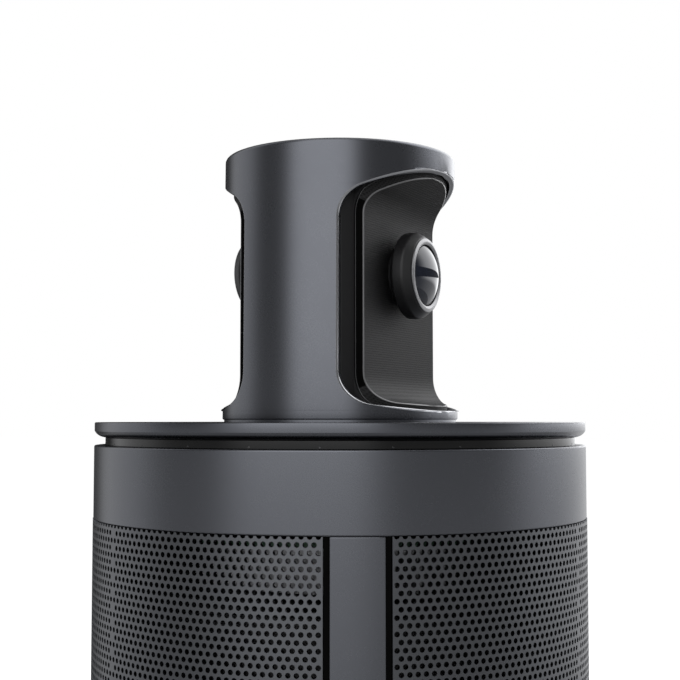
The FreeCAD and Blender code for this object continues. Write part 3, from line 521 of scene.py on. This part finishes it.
def windowed_side(profile, radius, below, above, across):
    """Grid of a tube with a window at each lens; rows follow the window's outline, then go full circle.

    below and above are (radius, height) rows under and over the windows, outward from them."""
    rows = [("ring", r, z) for r, z in reversed(below)]
    rows += [("window", c, z) for c, z in profile]
    rows += [("ring", r, z) for r, z in above]
    points = []
    for kind, value, z in rows:
        r = radius(z) if kind == "window" else value
        start = math.acos(min(1.0, value / r)) if kind == "window" else 0.0
        for sign in (1, -1):
            for j in range(across + 1):
                angle = start + (math.pi - 2 * start) * j / across
                points.append((sign * r * math.sin(angle), -r * math.cos(angle), deck_top + z))
    width = 2 * (across + 1)
    faces = []
    for i in range(len(rows) - 1):
        for half in (0, across + 1):
            for j in range(across):
                a = i * width + half + j
                faces.append((a, a + 1, a + 1 + width, a + width))
    first = len(below) * width
    return points, faces, first, width


def make_head_shell():
    outer = scoop_profile(edge=head_radius, **SCOOP)
    bore = HEAD_TOP_RADIUS - HEAD_WALL
    inner = scoop_profile(edge=lambda z: bore, **SCOOP)
    across = 36
    e = HEAD_EDGE
    crown = [(HEAD_TOP_RADIUS - e + e * math.cos(a), HEAD_HEIGHT - e + e * math.sin(a))
             for a in [math.pi / 2 * k / 6 for k in range(7)]]
    top_flat = [(HEAD_TOP_RADIUS * f, HEAD_HEIGHT) for f in (0.9, 0.6, 0.3, 0.0)]
    rim = head_radius(HEAD_FOOT)
    foot = [(head_radius(HEAD_FOOT + 0.25), HEAD_FOOT + 0.25), (rim - 0.12, HEAD_FOOT + 0.06),
            (rim - 0.3, HEAD_FOOT), (bore, HEAD_FOOT)]
    points, faces, first, width = windowed_side(outer, head_radius, foot, crown + top_flat, across)
    roof = HEAD_HEIGHT - HEAD_ROOF
    lining, lining_faces, lining_first, width = windowed_side(
        inner, lambda z: bore, [(bore, HEAD_FOOT)], [(bore, roof), (bore * 0.5, roof), (0.0, roof)], across)
    shift = len(points)
    points += lining
    faces += [tuple(i + shift for i in face) for face in lining_faces]
    for i in range(len(outer) - 1):
        for column in (0, across, across + 1, width - 1):
            a = first + i * width + column
            b = shift + lining_first + i * width + column
            faces.append((a, a + width, b + width, b))
    shell = build("head_shell_skin", points, faces, SHELL, sharp=40.0)
    # the rounded edges take the brighter lip copy, a painted highlight along the scoop lips
    shell.data.materials.append(SHELL_LIP_HIGHLIGHT)
    bevel(shell, 0.32, 3, 40.0).modifiers["edge rounding"].material = 1
    return finish_piece(shell, nodes=["head_shell"])


def make_recess_pad(side):
    front = scoop_profile(edge=lambda z: PAD_RADIUS - 0.02, **PAD)
    back = scoop_profile(edge=lambda z: PAD_RADIUS - 0.02, inset=PAD_THICKNESS, **PAD)
    across = 24

    def sheet(profile):
        rows = []
        for c, z in profile:
            half = min(PAD_HALF_WIDTH, math.sqrt(max(0.0, PAD_RADIUS ** 2 - c ** 2)))
            rows.append([(half * (2 * j / across - 1), -c, deck_top + z) for j in range(across + 1)])
        return rows

    layers = [sheet(front), sheet(back)]
    points = [p for layer in layers for row in layer for p in row]
    width = across + 1
    depth = len(front)
    faces = []
    for layer in range(2):
        base = layer * width * depth
        for i in range(depth - 1):
            for j in range(across):
                a = base + i * width + j
                faces.append((a, a + 1, a + 1 + width, a + width))
    under = width * depth
    for i in range(depth - 1):
        for j in (0, across):
            a = i * width + j
            faces.append((a, a + width, a + width + under, a + under))
    for i in (0, depth - 1):
        for j in range(across):
            a = i * width + j
            faces.append((a, a + 1, a + 1 + under, a + under))
    turn = Matrix.Rotation(math.radians(180.0 if side == "b" else 0.0), 4, "Z")
    pad = build("recess_pad_" + side, moved(points, turn), faces, PAD_MESH, sharp=40.0)
    pad.data.materials.append(PAD_RIM_HIGHLIGHT)
    pad.data.materials.append(DEEP_BLACK)
    # painted shade: the pad's side walls and back get the near-black, barely reflecting finish, standing in
    # for the shade along the pad's sides
    for polygon in pad.data.polygons:
        normal = polygon.normal
        outward = normal.y * (1 if side == "b" else -1)
        if outward < 0.3 and abs(normal.x) > 0.3 or outward < -0.2:
            polygon.material_index = 2
    # the rounded edges take the lighter rim grey, a painted highlight along the pad's rim
    rounding = bevel(pad, 0.2, 3, 40.0).modifiers["edge rounding"]
    rounding.material = 1
    return finish_piece(pad, nodes=["recess_mesh_" + side])


# --- lenses ---------------------------------------------------------------------------------------------
def lens_piece(name, side, profile, material, nodes=(), segments=128):
    points, faces = turned(profile, segments)
    piece = build(name + "_" + side, moved(points, on_lens_axis(side)), faces, material, sharp=34.0)
    return finish_piece(piece, nodes=nodes)


def make_lens(side):
    seat = LENS_SEAT[side]
    front = seat + LENS_LENGTH
    barrel = eased([(5.3, 6.2), (6.0, 6.2), (6.0, seat + 0.6), (8.3, seat + 1.65),
                    (LENS_RADIUS, seat + 1.95), (LENS_RADIUS, seat + 4.05), (LENS_FRONT_RADIUS, front),
                    (6.95, front), (6.75, front - 0.5), (6.05, front - 0.6), (6.05, front - 1.6),
                    (5.3, front - 1.6)], 0.35)
    lens_piece("barrel", side, barrel, BARREL, ["lens_barrel_" + side])
    ring = eased([(6.2, front - 0.55), (6.7, front - 0.45), (7.0, front + 0.05), (7.5, front + 0.02),
                  (7.42, front + 0.22), (6.75, front + 0.42), (6.2, front + 0.12)], 0.12)
    lens_piece("bezel", side, ring, TRIM, ["lens_trim_" + side])
    radius = LENS_GLASS_RADIUS
    rise = LENS_GLASS_RISE
    sphere = (radius ** 2 + rise ** 2) / (2 * rise)
    steps = 14
    reach = math.asin(radius / sphere)
    centre = front + rise - sphere
    outer = [(sphere * math.sin(reach * k / steps), centre + sphere * math.cos(reach * k / steps))
             for k in range(steps + 1)]
    thin = 0.9
    inner = [(r * (radius - thin) / radius, z - thin) for r, z in reversed(outer)]
    dome = outer + [(radius, front - 1.5), (radius - thin, front - 1.5)] + inner
    lens_piece("dome", side, dome, GLASS, ["lens_glass_" + side])
    cells = eased([(0.0, 6.0), (5.2, 6.0), (5.2, front - 1.75), (4.9, front - 1.75), (4.7, front - 2.3),
                   (4.3, front - 2.3), (4.2, front - 2.8), (0.0, front - 2.8)], 0.1)
    lens_piece("lens_cells", side, cells, CELL, ["lens_optics_" + side])
    bulge = 3.9
    crown = [(bulge * math.sin(k / 10 * math.pi / 2), front - 2.75 + 1.1 * math.cos(k / 10 * math.pi / 2))
             for k in range(11)]
    element = crown + [(bulge, front - 2.85), (0.0, front - 2.85)]
    lens_piece("second_element", side, element, ELEMENT, segments=96)


# --- deck, groove and band ------------------------------------------------------------------------------
BUTTONS = ("power_button", "mute_button", "mode_button", "volume_up_button", "volume_down_button")


def button_centre(name):
    low, high = span(name)
    return (low[0] + high[0]) / 2, (low[1] + high[1]) / 2


def circle(x, y, z, radius, count):
    angles = [2 * math.pi * k / count for k in range(count)]
    return [(x + radius * math.cos(a), y + radius * math.sin(a), z) for a in angles]


DECK_BEND = (0.74, 0.122)      # where the underside's curve is drawn to, as shares of its inset and its rise


def make_deck():
    flat = 45.5
    low_edge = DECK_RADIUS - DECK_INSET
    profile = [(flat, deck_bottom), (low_edge, deck_bottom)]
    rise = deck_top - DECK_SIDE - deck_bottom
    steps = 10
    for k in range(1, steps + 1):
        t = k / steps
        bend = 2 * t * (1 - t)
        profile.append((low_edge + DECK_INSET * (bend * DECK_BEND[0] + t * t),
                        deck_bottom + rise * (bend * DECK_BEND[1] + t * t)))
    profile += [(DECK_RADIUS, deck_top - 0.22), (DECK_RADIUS - 0.07, deck_top - 0.07),
                (DECK_RADIUS - 0.22, deck_top), (flat, deck_top)]
    segments = 192
    points, faces = turned(profile, segments, closed=False)
    bm = bmesh.new()
    verts = [bm.verts.new([v * MM for v in p]) for p in points]
    for face in faces:
        bm.faces.new([verts[i] for i in face])
    hole = BUTTON_RADIUS + BUTTON_GAP
    ease = 0.15
    for z, inward in ((deck_top, -1), (deck_bottom, 1)):
        edges = []
        loops = [circle(0, 0, z, flat, segments)]
        for name in BUTTONS:
            loops.append(circle(*button_centre(name), z, hole + (ease if inward < 0 else 0.0), 48))
        for loop in loops:
            ring = [bm.verts.new([v * MM for v in p]) for p in loop]
            edges += [bm.edges.new((ring[k], ring[(k + 1) % len(ring)])) for k in range(len(ring))]
        bmesh.ops.triangle_fill(bm, use_beauty=True, edges=edges, normal=(0, 0, 1))
    for name in BUTTONS:
        x, y = button_centre(name)
        rims = [circle(x, y, deck_top, hole + ease, 48), circle(x, y, deck_top - ease, hole, 48),
                circle(x, y, deck_bottom, hole, 48)]
        rings = [[bm.verts.new([v * MM for v in p]) for p in rim] for rim in rims]
        for upper, lower in zip(rings, rings[1:]):
            for k in range(48):
                n = (k + 1) % 48
                bm.faces.new((upper[k], upper[n], lower[n], lower[k]))
    bmesh.ops.remove_doubles(bm, verts=bm.verts, dist=2e-6)
    points = [tuple(c / MM for c in v.co) for v in bm.verts]
    bm.verts.index_update()
    faces = [tuple(v.index for v in f.verts) for f in bm.faces]
    bm.free()
    deck = build("deck_plate", points, faces, SHELL, sharp=32.0)
    return finish_piece(deck, nodes=["deck_disc"])


def make_halo_ring():
    foot = span("halo_ring")[0][2]
    inner = GROOVE_RADIUS - HALO_DEPTH
    outline = eased([(inner, foot), (inner + 1.5, foot), (inner + 1.5, band_top), (GROOVE_RADIUS, band_top),
                     (GROOVE_RADIUS, deck_bottom), (inner, deck_bottom)], 0.12)
    points, faces = turned(outline, 256)
    ring = build("smoked_ring", points, faces, SMOKED)
    return finish_piece(ring, nodes=["halo_ring"])


def make_mic_ports():
    """Small bushes round the microphone ports along the foot of the smoked ring."""
    points = []
    faces = []
    count = 24
    for i in range(count):
        angle = 2 * math.pi * (i + 0.5) / count
        section = [(0.08, -0.15), (0.17, -0.15), (0.17, 0.01), (0.14, 0.03), (0.08, 0.03)]
        bush, bush_faces = turned(section, 12)
        place = (Matrix.Rotation(angle, 4, "Z") @ Matrix.Translation((0, -GROOVE_RADIUS, band_top + 0.36))
                 @ Matrix.Rotation(math.radians(90), 4, "X"))
        shift = len(points)
        points += moved(bush, place)
        faces += [tuple(k + shift for k in face) for face in bush_faces]
    ports = build("mic_port_bushes", points, faces, DARK_STEEL)
    return finish_piece(ports)


def make_upper_band():
    inner = BODY_RADIUS - BAND_WALL
    lip = GROOVE_RADIUS - HALO_DEPTH + 1.6
    outline = eased([(inner, band_bottom), (BODY_RADIUS, band_bottom), (BODY_RADIUS, band_top),
                     (lip, band_top), (lip, band_top - 1.5), (inner, band_top - 1.5)], 0.35, 5)
    points, faces = turned(outline, 256)
    band = build("upper_band_skin", points, faces, SHELL)
    return finish_piece(band, nodes=["upper_band"])


def make_button(name):
    x, y = button_centre(name)
    low, high = span(name)
    flange_top = deck_bottom - BUTTON_GAP
    top = high[2]
    flange = BUTTON_RADIUS + 0.9
    outline = [(0.0, top - 0.10), (2.4, top - 0.08), (BUTTON_RADIUS - 0.3, top),
               (BUTTON_RADIUS - 0.08, top - 0.06), (BUTTON_RADIUS, top - 0.3), (BUTTON_RADIUS, flange_top),
               (flange, flange_top), (flange, flange_top - 0.7), (1.6, flange_top - 0.7),
               (1.6, low[2]), (0.0, low[2])]
    points, faces = turned(outline, 64)
    cap = build(name + "_cap", moved(points, Matrix.Translation((x, y, 0))), faces, KEY)
    body = name.replace("_button", "_key")
    finish_piece(cap, body, nodes=[name])
    strokes = button_mark(name)
    points = []
    faces = []
    angle = math.atan2(x, -y)
    for flat, flat_faces in strokes:
        shift = len(points)
        place = Matrix.Translation((x, y, top - 0.105)) @ Matrix.Rotation(angle, 4, "Z")
        points += moved(flat, place)
        faces += [tuple(k + shift for k in face) for face in flat_faces]
    mark = build(name + "_mark", points, faces, MARK, weighted=False)
    return finish_piece(mark, body)


def bar(x0, y0, x1, y1, width, rise=0.04):
    """Low raised stroke between two points."""
    along = Vector((x1 - x0, y1 - y0)).normalized()
    side = Vector((-along.y, along.x)) * width / 2
    corners = [(x0 + side.x, y0 + side.y), (x1 + side.x, y1 + side.y), (x1 - side.x, y1 - side.y),
               (x0 - side.x, y0 - side.y)]
    points = [(x, y, z) for z in (0.0, rise) for x, y in corners]
    faces = [(0, 1, 2, 3), (4, 5, 6, 7)] + [(k, (k + 1) % 4, (k + 1) % 4 + 4, k + 4) for k in range(4)]
    return points, faces


def arc_stroke(radius, start, end, width, steps=28, x=0.0, y=0.0, rise=0.04):
    points = []
    for k in range(steps + 1):
        a = math.radians(start + (end - start) * k / steps)
        for r, z in ((radius - width / 2, 0.0), (radius + width / 2, 0.0), (radius + width / 2, rise),
                     (radius - width / 2, rise)):
            points.append((x + r * math.sin(a), y + r * math.cos(a), z))
    faces = []
    for k in range(steps):
        for c in range(4):
            n = (c + 1) % 4
            faces.append((k * 4 + c, k * 4 + n, k * 4 + 4 + n, k * 4 + 4 + c))
    if abs(end - start) < 359.0:
        faces += [(0, 1, 2, 3), tuple(steps * 4 + c for c in range(4))]
    return points, faces


def button_mark(name):
    w = 0.32
    if name == "power_button":
        return [arc_stroke(1.35, 38, 322, w), bar(0, 0.5, 0, 1.75, w)]
    if name == "mute_button":
        return [arc_stroke(0.55, -90, 90, w, 14, 0, 0.75), arc_stroke(0.55, 90, 270, w, 14, 0, -0.05),
                bar(-0.55, 0.75, -0.55, -0.05, w), bar(0.55, 0.75, 0.55, -0.05, w),
                arc_stroke(1.15, 100, 260, w * 0.8, 18, 0, -0.1), bar(0, -1.2, 0, -1.75, w)]
    if name == "volume_up_button":
        return [bar(-1.3, 0, 1.3, 0, w), bar(0, -1.3, 0, 1.3, w)]
    if name == "volume_down_button":
        return [bar(-1.3, 0, 1.3, 0, w)]
    return [arc_stroke(1.35, 0, 360, w * 0.9, 40), arc_stroke(0.45, 0, 360, w * 0.9, 20)]


# --- wrap -----------------------------------------------------------------------------------------------
def half_angle(width):
    return math.degrees(math.asin(width / 2 / BODY_RADIUS))


def perforated_panel(name, start, end, low, high, pitch_across, pitch_up, hole):
    """Curved sheet with staggered round holes; each hole sits in its own cell of eight border points."""
    sides = 8
    columns = max(1, round(math.radians(end - start) * GRILLE_OUTER / pitch_across))
    rows = max(1, round((high - low) / pitch_up - 0.5))
    step = (end - start) / columns
    rise = (high - low) / (rows + 0.5)
    arc_step = math.radians(step) * GRILLE_OUTER
    inner = GRILLE_OUTER - GRILLE_WALL
    index = {}
    points = []

    def vertex(across, up, layer):
        key = (round(across * 1000), round(up * 1000), layer)
        if key not in index:
            r = GRILLE_OUTER if layer == 0 else inner
            angle = math.radians(start) + across / GRILLE_OUTER
            index[key] = len(points)
            points.append((r * math.sin(angle), -r * math.cos(angle), low + up))
        return index[key]

    faces = []

    def beside_hole(border, cut, k, n):
        """Front and back of the sheet from two corners of the border to the hole, and the hole's own side."""
        for layer in (0, 1):
            faces.append([vertex(*border[k], layer), vertex(*border[n], layer),
                          vertex(*cut[n], layer), vertex(*cut[k], layer)])
        faces.append([vertex(*cut[k], 0), vertex(*cut[n], 0), vertex(*cut[n], 1), vertex(*cut[k], 1)])

    full_turn = [2 * math.pi * k / sides for k in range(sides)]
    total = arc_step * columns
    half_turn = [math.radians(180 + 45 * k) for k in range(5)]
    for i in range(columns if rows % 2 == 0 else columns - 1):
        left = (i + (0.0 if rows % 2 == 0 else 0.5)) * arc_step
        right = left + arc_step
        middle = (left + right) / 2
        y0 = rows * rise
        top = high - low
        border = [(left, top), (left, y0), (middle, y0), (right, y0), (right, top)]
        cut = [(middle + hole * math.cos(a), top + hole * math.sin(a)) for a in half_turn]
        for k in range(4):
            beside_hole(border, cut, k, k + 1)
    if rows % 2:
        for x0, x1 in ((0.0, arc_step / 2), (total - arc_step / 2, total)):
            for layer in (0, 1):
                faces.append([vertex(x0, rows * rise, layer), vertex(x1, rows * rise, layer),
                              vertex(x1, high - low, layer), vertex(x0, high - low, layer)])
    for j in range(rows):
        offset = 0.5 if j % 2 else 0.0
        for i in range(-1 if offset else 0, columns):
            left = (i + offset) * arc_step
            right = left + arc_step
            clipped = left < -1e-6 or right > total + 1e-6
            left, right = max(left, 0.0), min(right, total)
            middle = (left + right) / 2
            y0, y1 = j * rise, (j + 1) * rise
            ym = (y0 + y1) / 2
            border = [(right, ym), (right, y1), (middle, y1), (left, y1),
                      (left, ym), (left, y0), (middle, y0), (right, y0)]
            if clipped:
                for layer in (0, 1):
                    faces.append([vertex(x, y, layer) for x, y in border])
            else:
                cut = [(middle + hole * math.cos(a), ym + hole * math.sin(a)) for a in full_turn]
                for k in range(sides):
                    beside_hole(border, cut, k, (k + 1) % sides)
    mesh = bpy.data.meshes.new(name)
    mesh.from_pydata([(x * MM, y * MM, z * MM) for x, y, z in points], [], faces)
    bm = bmesh.new()
    bm.from_mesh(mesh)
    bm.verts.ensure_lookup_table()
    behind = {i: index[(across, up, 1)] for (across, up, layer), i in index.items() if layer == 0}
    rim = [e for e in bm.edges if e.is_boundary and e.verts[0].index in behind and e.verts[1].index in behind]
    for e in rim:
        a, b = e.verts
        bm.faces.new((a, b, bm.verts[behind[b.index]], bm.verts[behind[a.index]]))
    bmesh.ops.recalc_face_normals(bm, faces=bm.faces)
    bm.to_mesh(mesh)
    bm.free()
    mesh.shade_smooth()
    mesh.set_sharp_from_angle(angle=math.radians(30))
    mesh.materials.append(WRAP)
    obj = bpy.data.objects.new(name, mesh)
    bpy.context.scene.collection.objects.link(obj)
    return obj


def make_grilles():
    edge = half_angle(RIB_WIDTH + 2 * GASKET_WIDTH) + 0.1
    names = {60.0: "grille_right", 180.0: "grille_left", 300.0: "grille_front"}
    parts = 2
    for rib in RIB_ANGLES:
        start, end = rib + edge, rib + 120.0 - edge
        for k in range(parts):
            a = start + (end - start) * k / parts
            b = start + (end - start) * (k + 1) / parts
            panel = perforated_panel(f"{names[rib]}_{'ab'[k]}", a, b, wrap_bottom, wrap_top,
                                     HOLE_SPACING, HOLE_ROW_SPACING, HOLE_RADIUS)
            finish_piece(panel, nodes=[names[rib]])


def curved_bar(name, inner, outer, start, end, low, high, material, rounding, nodes=()):
    """Upright strip that follows the body's curve."""
    steps = 8
    points = []
    for k in range(steps + 1):
        a = math.radians(start + (end - start) * k / steps)
        for r in (inner, outer):
            for z in (low, high):
                points.append((r * math.sin(a), -r * math.cos(a), z))
    faces = [(0, 1, 3, 2), tuple(steps * 4 + c for c in (0, 1, 3, 2))]
    for k in range(steps):
        a, b = k * 4, k * 4 + 4
        faces += [(a, a + 1, b + 1, b), (a + 2, a + 3, b + 3, b + 2), (a, a + 2, b + 2, b),
                  (a + 1, a + 3, b + 3, b + 1)]
    piece = build(name, points, faces, material)
    bevel(piece, rounding, 3)
    return finish_piece(piece, nodes=nodes)


def make_ribs():
    names = ("rib_right", "rib_rear", "rib_left")
    near = half_angle(RIB_WIDTH)
    far = half_angle(RIB_WIDTH + 2 * GASKET_WIDTH)
    for name, angle in zip(names, RIB_ANGLES):
        curved_bar(name + "_strip", BODY_RADIUS - RIB_WALL, BODY_RADIUS, angle - near, angle + near,
                   wrap_bottom, wrap_top, SHELL, 0.2, [name])
        strips = (("left", angle - far, angle - near - 0.02), ("right", angle + near + 0.02, angle + far))
        for side, low, high in strips:
            curved_bar(f"{name}_gasket_{side}", BODY_RADIUS - RIB_WALL, BODY_RADIUS - 0.15, low, high,
                       wrap_bottom, wrap_top, DEEP_BLACK, 0.1, ["rib_gaskets"])


# --- stage ----------------------------------------------------------------------------------------------
VIEW_AZIMUTH = -63.4           # the camera's place round the object, from lens A
VIEW_DISTANCE = 260.4
VIEW_RISE = 0.6                # eye above the deck
VIEW_PITCH = 3.62              # upward
VIEW_LENS = 66.3


def around_object(azimuth, distance, height):
    """A point at that bearing from the camera's own bearing, in metres."""
    a = math.radians(VIEW_AZIMUTH + azimuth)
    return Vector((distance * math.sin(a), -distance * math.cos(a), height)) * MM


def make_camera():
    data = bpy.data.cameras.new("camera")
    data.lens = VIEW_LENS
    data.sensor_width = 36.0
    data.clip_start = 0.01
    data.clip_end = 50.0
    camera = bpy.data.objects.new("camera", data)
    bpy.context.scene.collection.objects.link(camera)
    camera.location = around_object(0, VIEW_DISTANCE, deck_top + VIEW_RISE)
    inward = -Vector((camera.location.x, camera.location.y, 0)).normalized()
    pitch = math.radians(VIEW_PITCH)
    aim = inward * math.cos(pitch) + Vector((0, 0, math.sin(pitch)))
    camera.rotation_mode = "QUATERNION"
    camera.rotation_quaternion = aim.to_track_quat("-Z", "Y")
    bpy.context.scene.camera = camera


def seen_directly(tree):
    """1 for camera, glossy and transmission rays."""
    path = tree.nodes.new("ShaderNodeLightPath")
    glossy = math_node(tree, "MAXIMUM", path.outputs["Is Camera Ray"], path.outputs["Is Glossy Ray"])
    return math_node(tree, "MAXIMUM", glossy, path.outputs["Is Transmission Ray"])


def make_world():
    """White where it is seen, reflected or looked through; softer as plain light on matt surfaces."""
    world = bpy.data.worlds.new("studio")
    bpy.context.scene.world = world
    world.use_nodes = True
    tree = world.node_tree
    background = tree.nodes["Background"]
    background.inputs["Color"].default_value = (1.0, 1.0, 1.0, 1.0)
    level = math_node(tree, "MULTIPLY_ADD", seen_directly(tree), 1.0 - AMBIENT, AMBIENT)
    tree.links.new(level, background.inputs["Strength"])


AMBIENT = 0.72
FLOOR_TONE = 0.80


def make_floor():
    mesh = bpy.data.meshes.new("floor")
    bm = bmesh.new()
    bmesh.ops.create_grid(bm, x_segments=8, y_segments=8, size=12.0)
    bm.to_mesh(mesh)
    bm.free()
    floor = bpy.data.objects.new("floor", mesh)
    bpy.context.scene.collection.objects.link(floor)
    material, tree, shader = new_material("pale floor")
    shader.inputs["Base Color"].default_value = (FLOOR_TONE, FLOOR_TONE, FLOOR_TONE, 1.0)
    shader.inputs["Roughness"].default_value = 0.9
    shader.inputs["Specular IOR Level"].default_value = 0.0
    shader.inputs["Emission Color"].default_value = (1.0, 1.0, 1.0, 1.0)
    glow = math_node(tree, "MULTIPLY", seen_directly(tree), 1.01 - AMBIENT * FLOOR_TONE)
    tree.links.new(glow, shader.inputs["Emission Strength"])
    mesh.materials.append(material)


def area_light(name, azimuth, distance, height, width, tall, power, aim_height):
    data = bpy.data.lights.new(name, "AREA")
    data.shape = "RECTANGLE"
    data.size = width * MM
    data.size_y = tall * MM
    data.energy = power
    light = bpy.data.objects.new(name, data)
    bpy.context.scene.collection.objects.link(light)
    light.location = around_object(azimuth, distance, height)
    aim = Vector((0, 0, aim_height * MM)) - light.location
    light.rotation_mode = "QUATERNION"
    light.rotation_quaternion = aim.to_track_quat("-Z", "Y")
    light.visible_camera = False
    light.visible_glossy = False
    return light


# Soft boxes and flags that polished surfaces reflect: middle and half width in degrees from the camera, minus
# to its left, width of the soft edge, and brightness of the lower and the upper part.
STUDIO_BOXES = {
    "front soft box": (-17.0, 31.0, 18.0, 0.97, 2.00),
    "right soft box": (134.0, 50.0, 34.0, 0.98, 2.90),
    "left soft box": (-112.0, 22.0, 24.0, 0.90, 1.00),
    "black flag": (-166.0, 30.0, 18.0, 0.04, 0.04),
}
STUDIO_DARK = (0.47, 0.21)     # between the boxes, lower and upper part
STUDIO_RADIUS = 700.0
STUDIO_SPLIT = (200.0, 255.0)  # heights between which the lower part turns into the upper one
STUDIO_TOP = 1500.0
TABLE_CARD = (80.0, 0.40)      # grey card on the floor round the object: inner radius and brightness


# Black flag in front of the right soft box: bearings of its wide end and of its point, height of the point,
# how far the wide end reaches above and below that, distance and brightness.
LENS_FLAG = {"from": 60.0, "to": 162.0, "point": 326.0, "above": 170.0, "below": 80.0, "radius": 690.0,
             "level": 0.14}


def studio_levels(angle):
    """Brightness of the lower and the upper part at that bearing from the camera."""
    low, high = STUDIO_DARK
    for middle, half, soft, box_low, box_high in STUDIO_BOXES.values():
        away = abs((angle - middle + 180.0) % 360.0 - 180.0)
        t = min(1.0, max(0.0, (half - away) / soft + 0.5))
        share = t * t * (3.0 - 2.0 * t)
        low += (box_low - low) * share
        high += (box_high - high) * share
    return low, high


def reflected_only(name, points, values, faces):
    """A glowing sheet on the stage that only reflections see, with a brightness at each point."""
    mesh = bpy.data.meshes.new(name)
    mesh.from_pydata(points, [], faces)
    mesh.attributes.new("brightness", "FLOAT", "POINT").data.foreach_set("value", values)
    sheet = bpy.data.objects.new(name, mesh)
    bpy.context.scene.collection.objects.link(sheet)
    material = bpy.data.materials.new(name + " glow")
    material.use_nodes = True
    tree = material.node_tree
    tree.nodes.remove(tree.nodes["Principled BSDF"])
    emission = tree.nodes.new("ShaderNodeEmission")
    emission.inputs["Color"].default_value = (0.98, 0.985, 1.0, 1.0)
    attribute = tree.nodes.new("ShaderNodeAttribute")
    attribute.attribute_name = "brightness"
    tree.links.new(attribute.outputs["Fac"], emission.inputs["Strength"])
    tree.links.new(emission.outputs[0], tree.nodes["Material Output"].inputs["Surface"])
    mesh.materials.append(material)
    sheet.visible_camera = False
    sheet.visible_diffuse = False
    sheet.visible_shadow = False
    sheet.visible_transmission = False


def make_lens_flag():
    """Three-cornered black flag between the right soft box and lens A, widest towards the front."""
    points = []
    steps = 22
    for k in range(steps + 1):
        share = 1.0 - k / steps
        angle = LENS_FLAG["to"] + (LENS_FLAG["from"] - LENS_FLAG["to"]) * share
        reach = (-LENS_FLAG["below"] * share, LENS_FLAG["above"] * share)
        for z in [LENS_FLAG["point"] + away for away in reach]:
            points.append(tuple(around_object(angle, LENS_FLAG["radius"], z)))
    faces = [(2 * k, 2 * k + 2, 2 * k + 3, 2 * k + 1) for k in range(steps)]
    reflected_only("lens_flag", points, [LENS_FLAG["level"]] * len(points), faces)


def make_studio_wall():
    """Lit wall and table card round the object, seen only by reflections."""
    card_radius, card_level = TABLE_CARD
    angles = list(range(-180, 181, 3))
    points = []
    values = []
    for a in angles:
        low, high = studio_levels(a)
        rings = [(card_radius, 1.0, card_level), (STUDIO_RADIUS, 1.0, card_level), (STUDIO_RADIUS, 1.5, low),
                 (STUDIO_RADIUS, STUDIO_SPLIT[0], low), (STUDIO_RADIUS, STUDIO_SPLIT[1], high),
                 (STUDIO_RADIUS, STUDIO_TOP, high)]
        points += [tuple(around_object(a, radius, z)) for radius, z, level in rings]
        values += [level for radius, z, level in rings]
    rows = len(rings)
    faces = [(i * rows + k, (i + 1) * rows + k, (i + 1) * rows + k + 1, i * rows + k + 1)
             for i in range(len(angles) - 1) for k in range(rows - 1)]
    reflected_only("studio_wall", points, values, faces)


def make_lights():
    area_light("front softbox", -25, 1000, 700, 700, 900, 5.0, 150)
    area_light("back right softbox", 130, 900, 500, 500, 900, 4.0, 150)
    area_light("back left softbox", -125, 900, 500, 500, 900, 3.0, 150)
    area_light("overhead softbox", 10, 200, 1200, 900, 900, 5.0, 100)


# --- make everything ------------------------------------------------------------------------------------
make_camera()
make_head_shell()
for side in "ab":
    make_recess_pad(side)
    make_lens(side)
make_deck()
make_halo_ring()
make_mic_ports()
make_upper_band()
for button in BUTTONS:
    make_button(button)
make_grilles()
make_ribs()

plain_nodes(["recess_liner_a", "recess_liner_b"], LINER)
plain_nodes(["head_gasket"], SHELL)
plain_nodes(["lower_band", "base_plate"], LOWER)
plain_nodes(["foot_ring"], RUBBER)
plain_nodes(["base_screws"], DARK_STEEL)
plain_nodes(["tripod_insert"], BRASS)
plain_nodes(["usb_c_socket", "hdmi_socket", "ethernet_socket", "mic_capsules"], STEEL)
plain_nodes(["dc_jack", "main_chips", "tact_switches"], EPOXY)
plain_nodes(["top_board", "main_board", "port_board", "sensor_board_a", "sensor_board_b"], BOARD)
plain_nodes(["head_chassis", "heat_sink"], CAST)
plain_nodes(["camera_flex"], FLEX)
plain_nodes(["halo_leds"], LED)
plain_nodes(["speaker_enclosure", "speaker_basket", "diffuser", "inner_frame", "deck_carrier"], FRAME_PLASTIC)
plain_nodes(["speaker_magnet"], MAGNET)
plain_nodes(["speaker_cone"], PAPER)
plain_nodes(["speaker_surround"], RUBBER)
plain_nodes(["speaker_spider"], CLOTH)

make_world()
make_floor()
make_studio_wall()
make_lens_flag()
make_lights()

scene = bpy.context.scene
scene.view_settings.view_transform = "Standard"
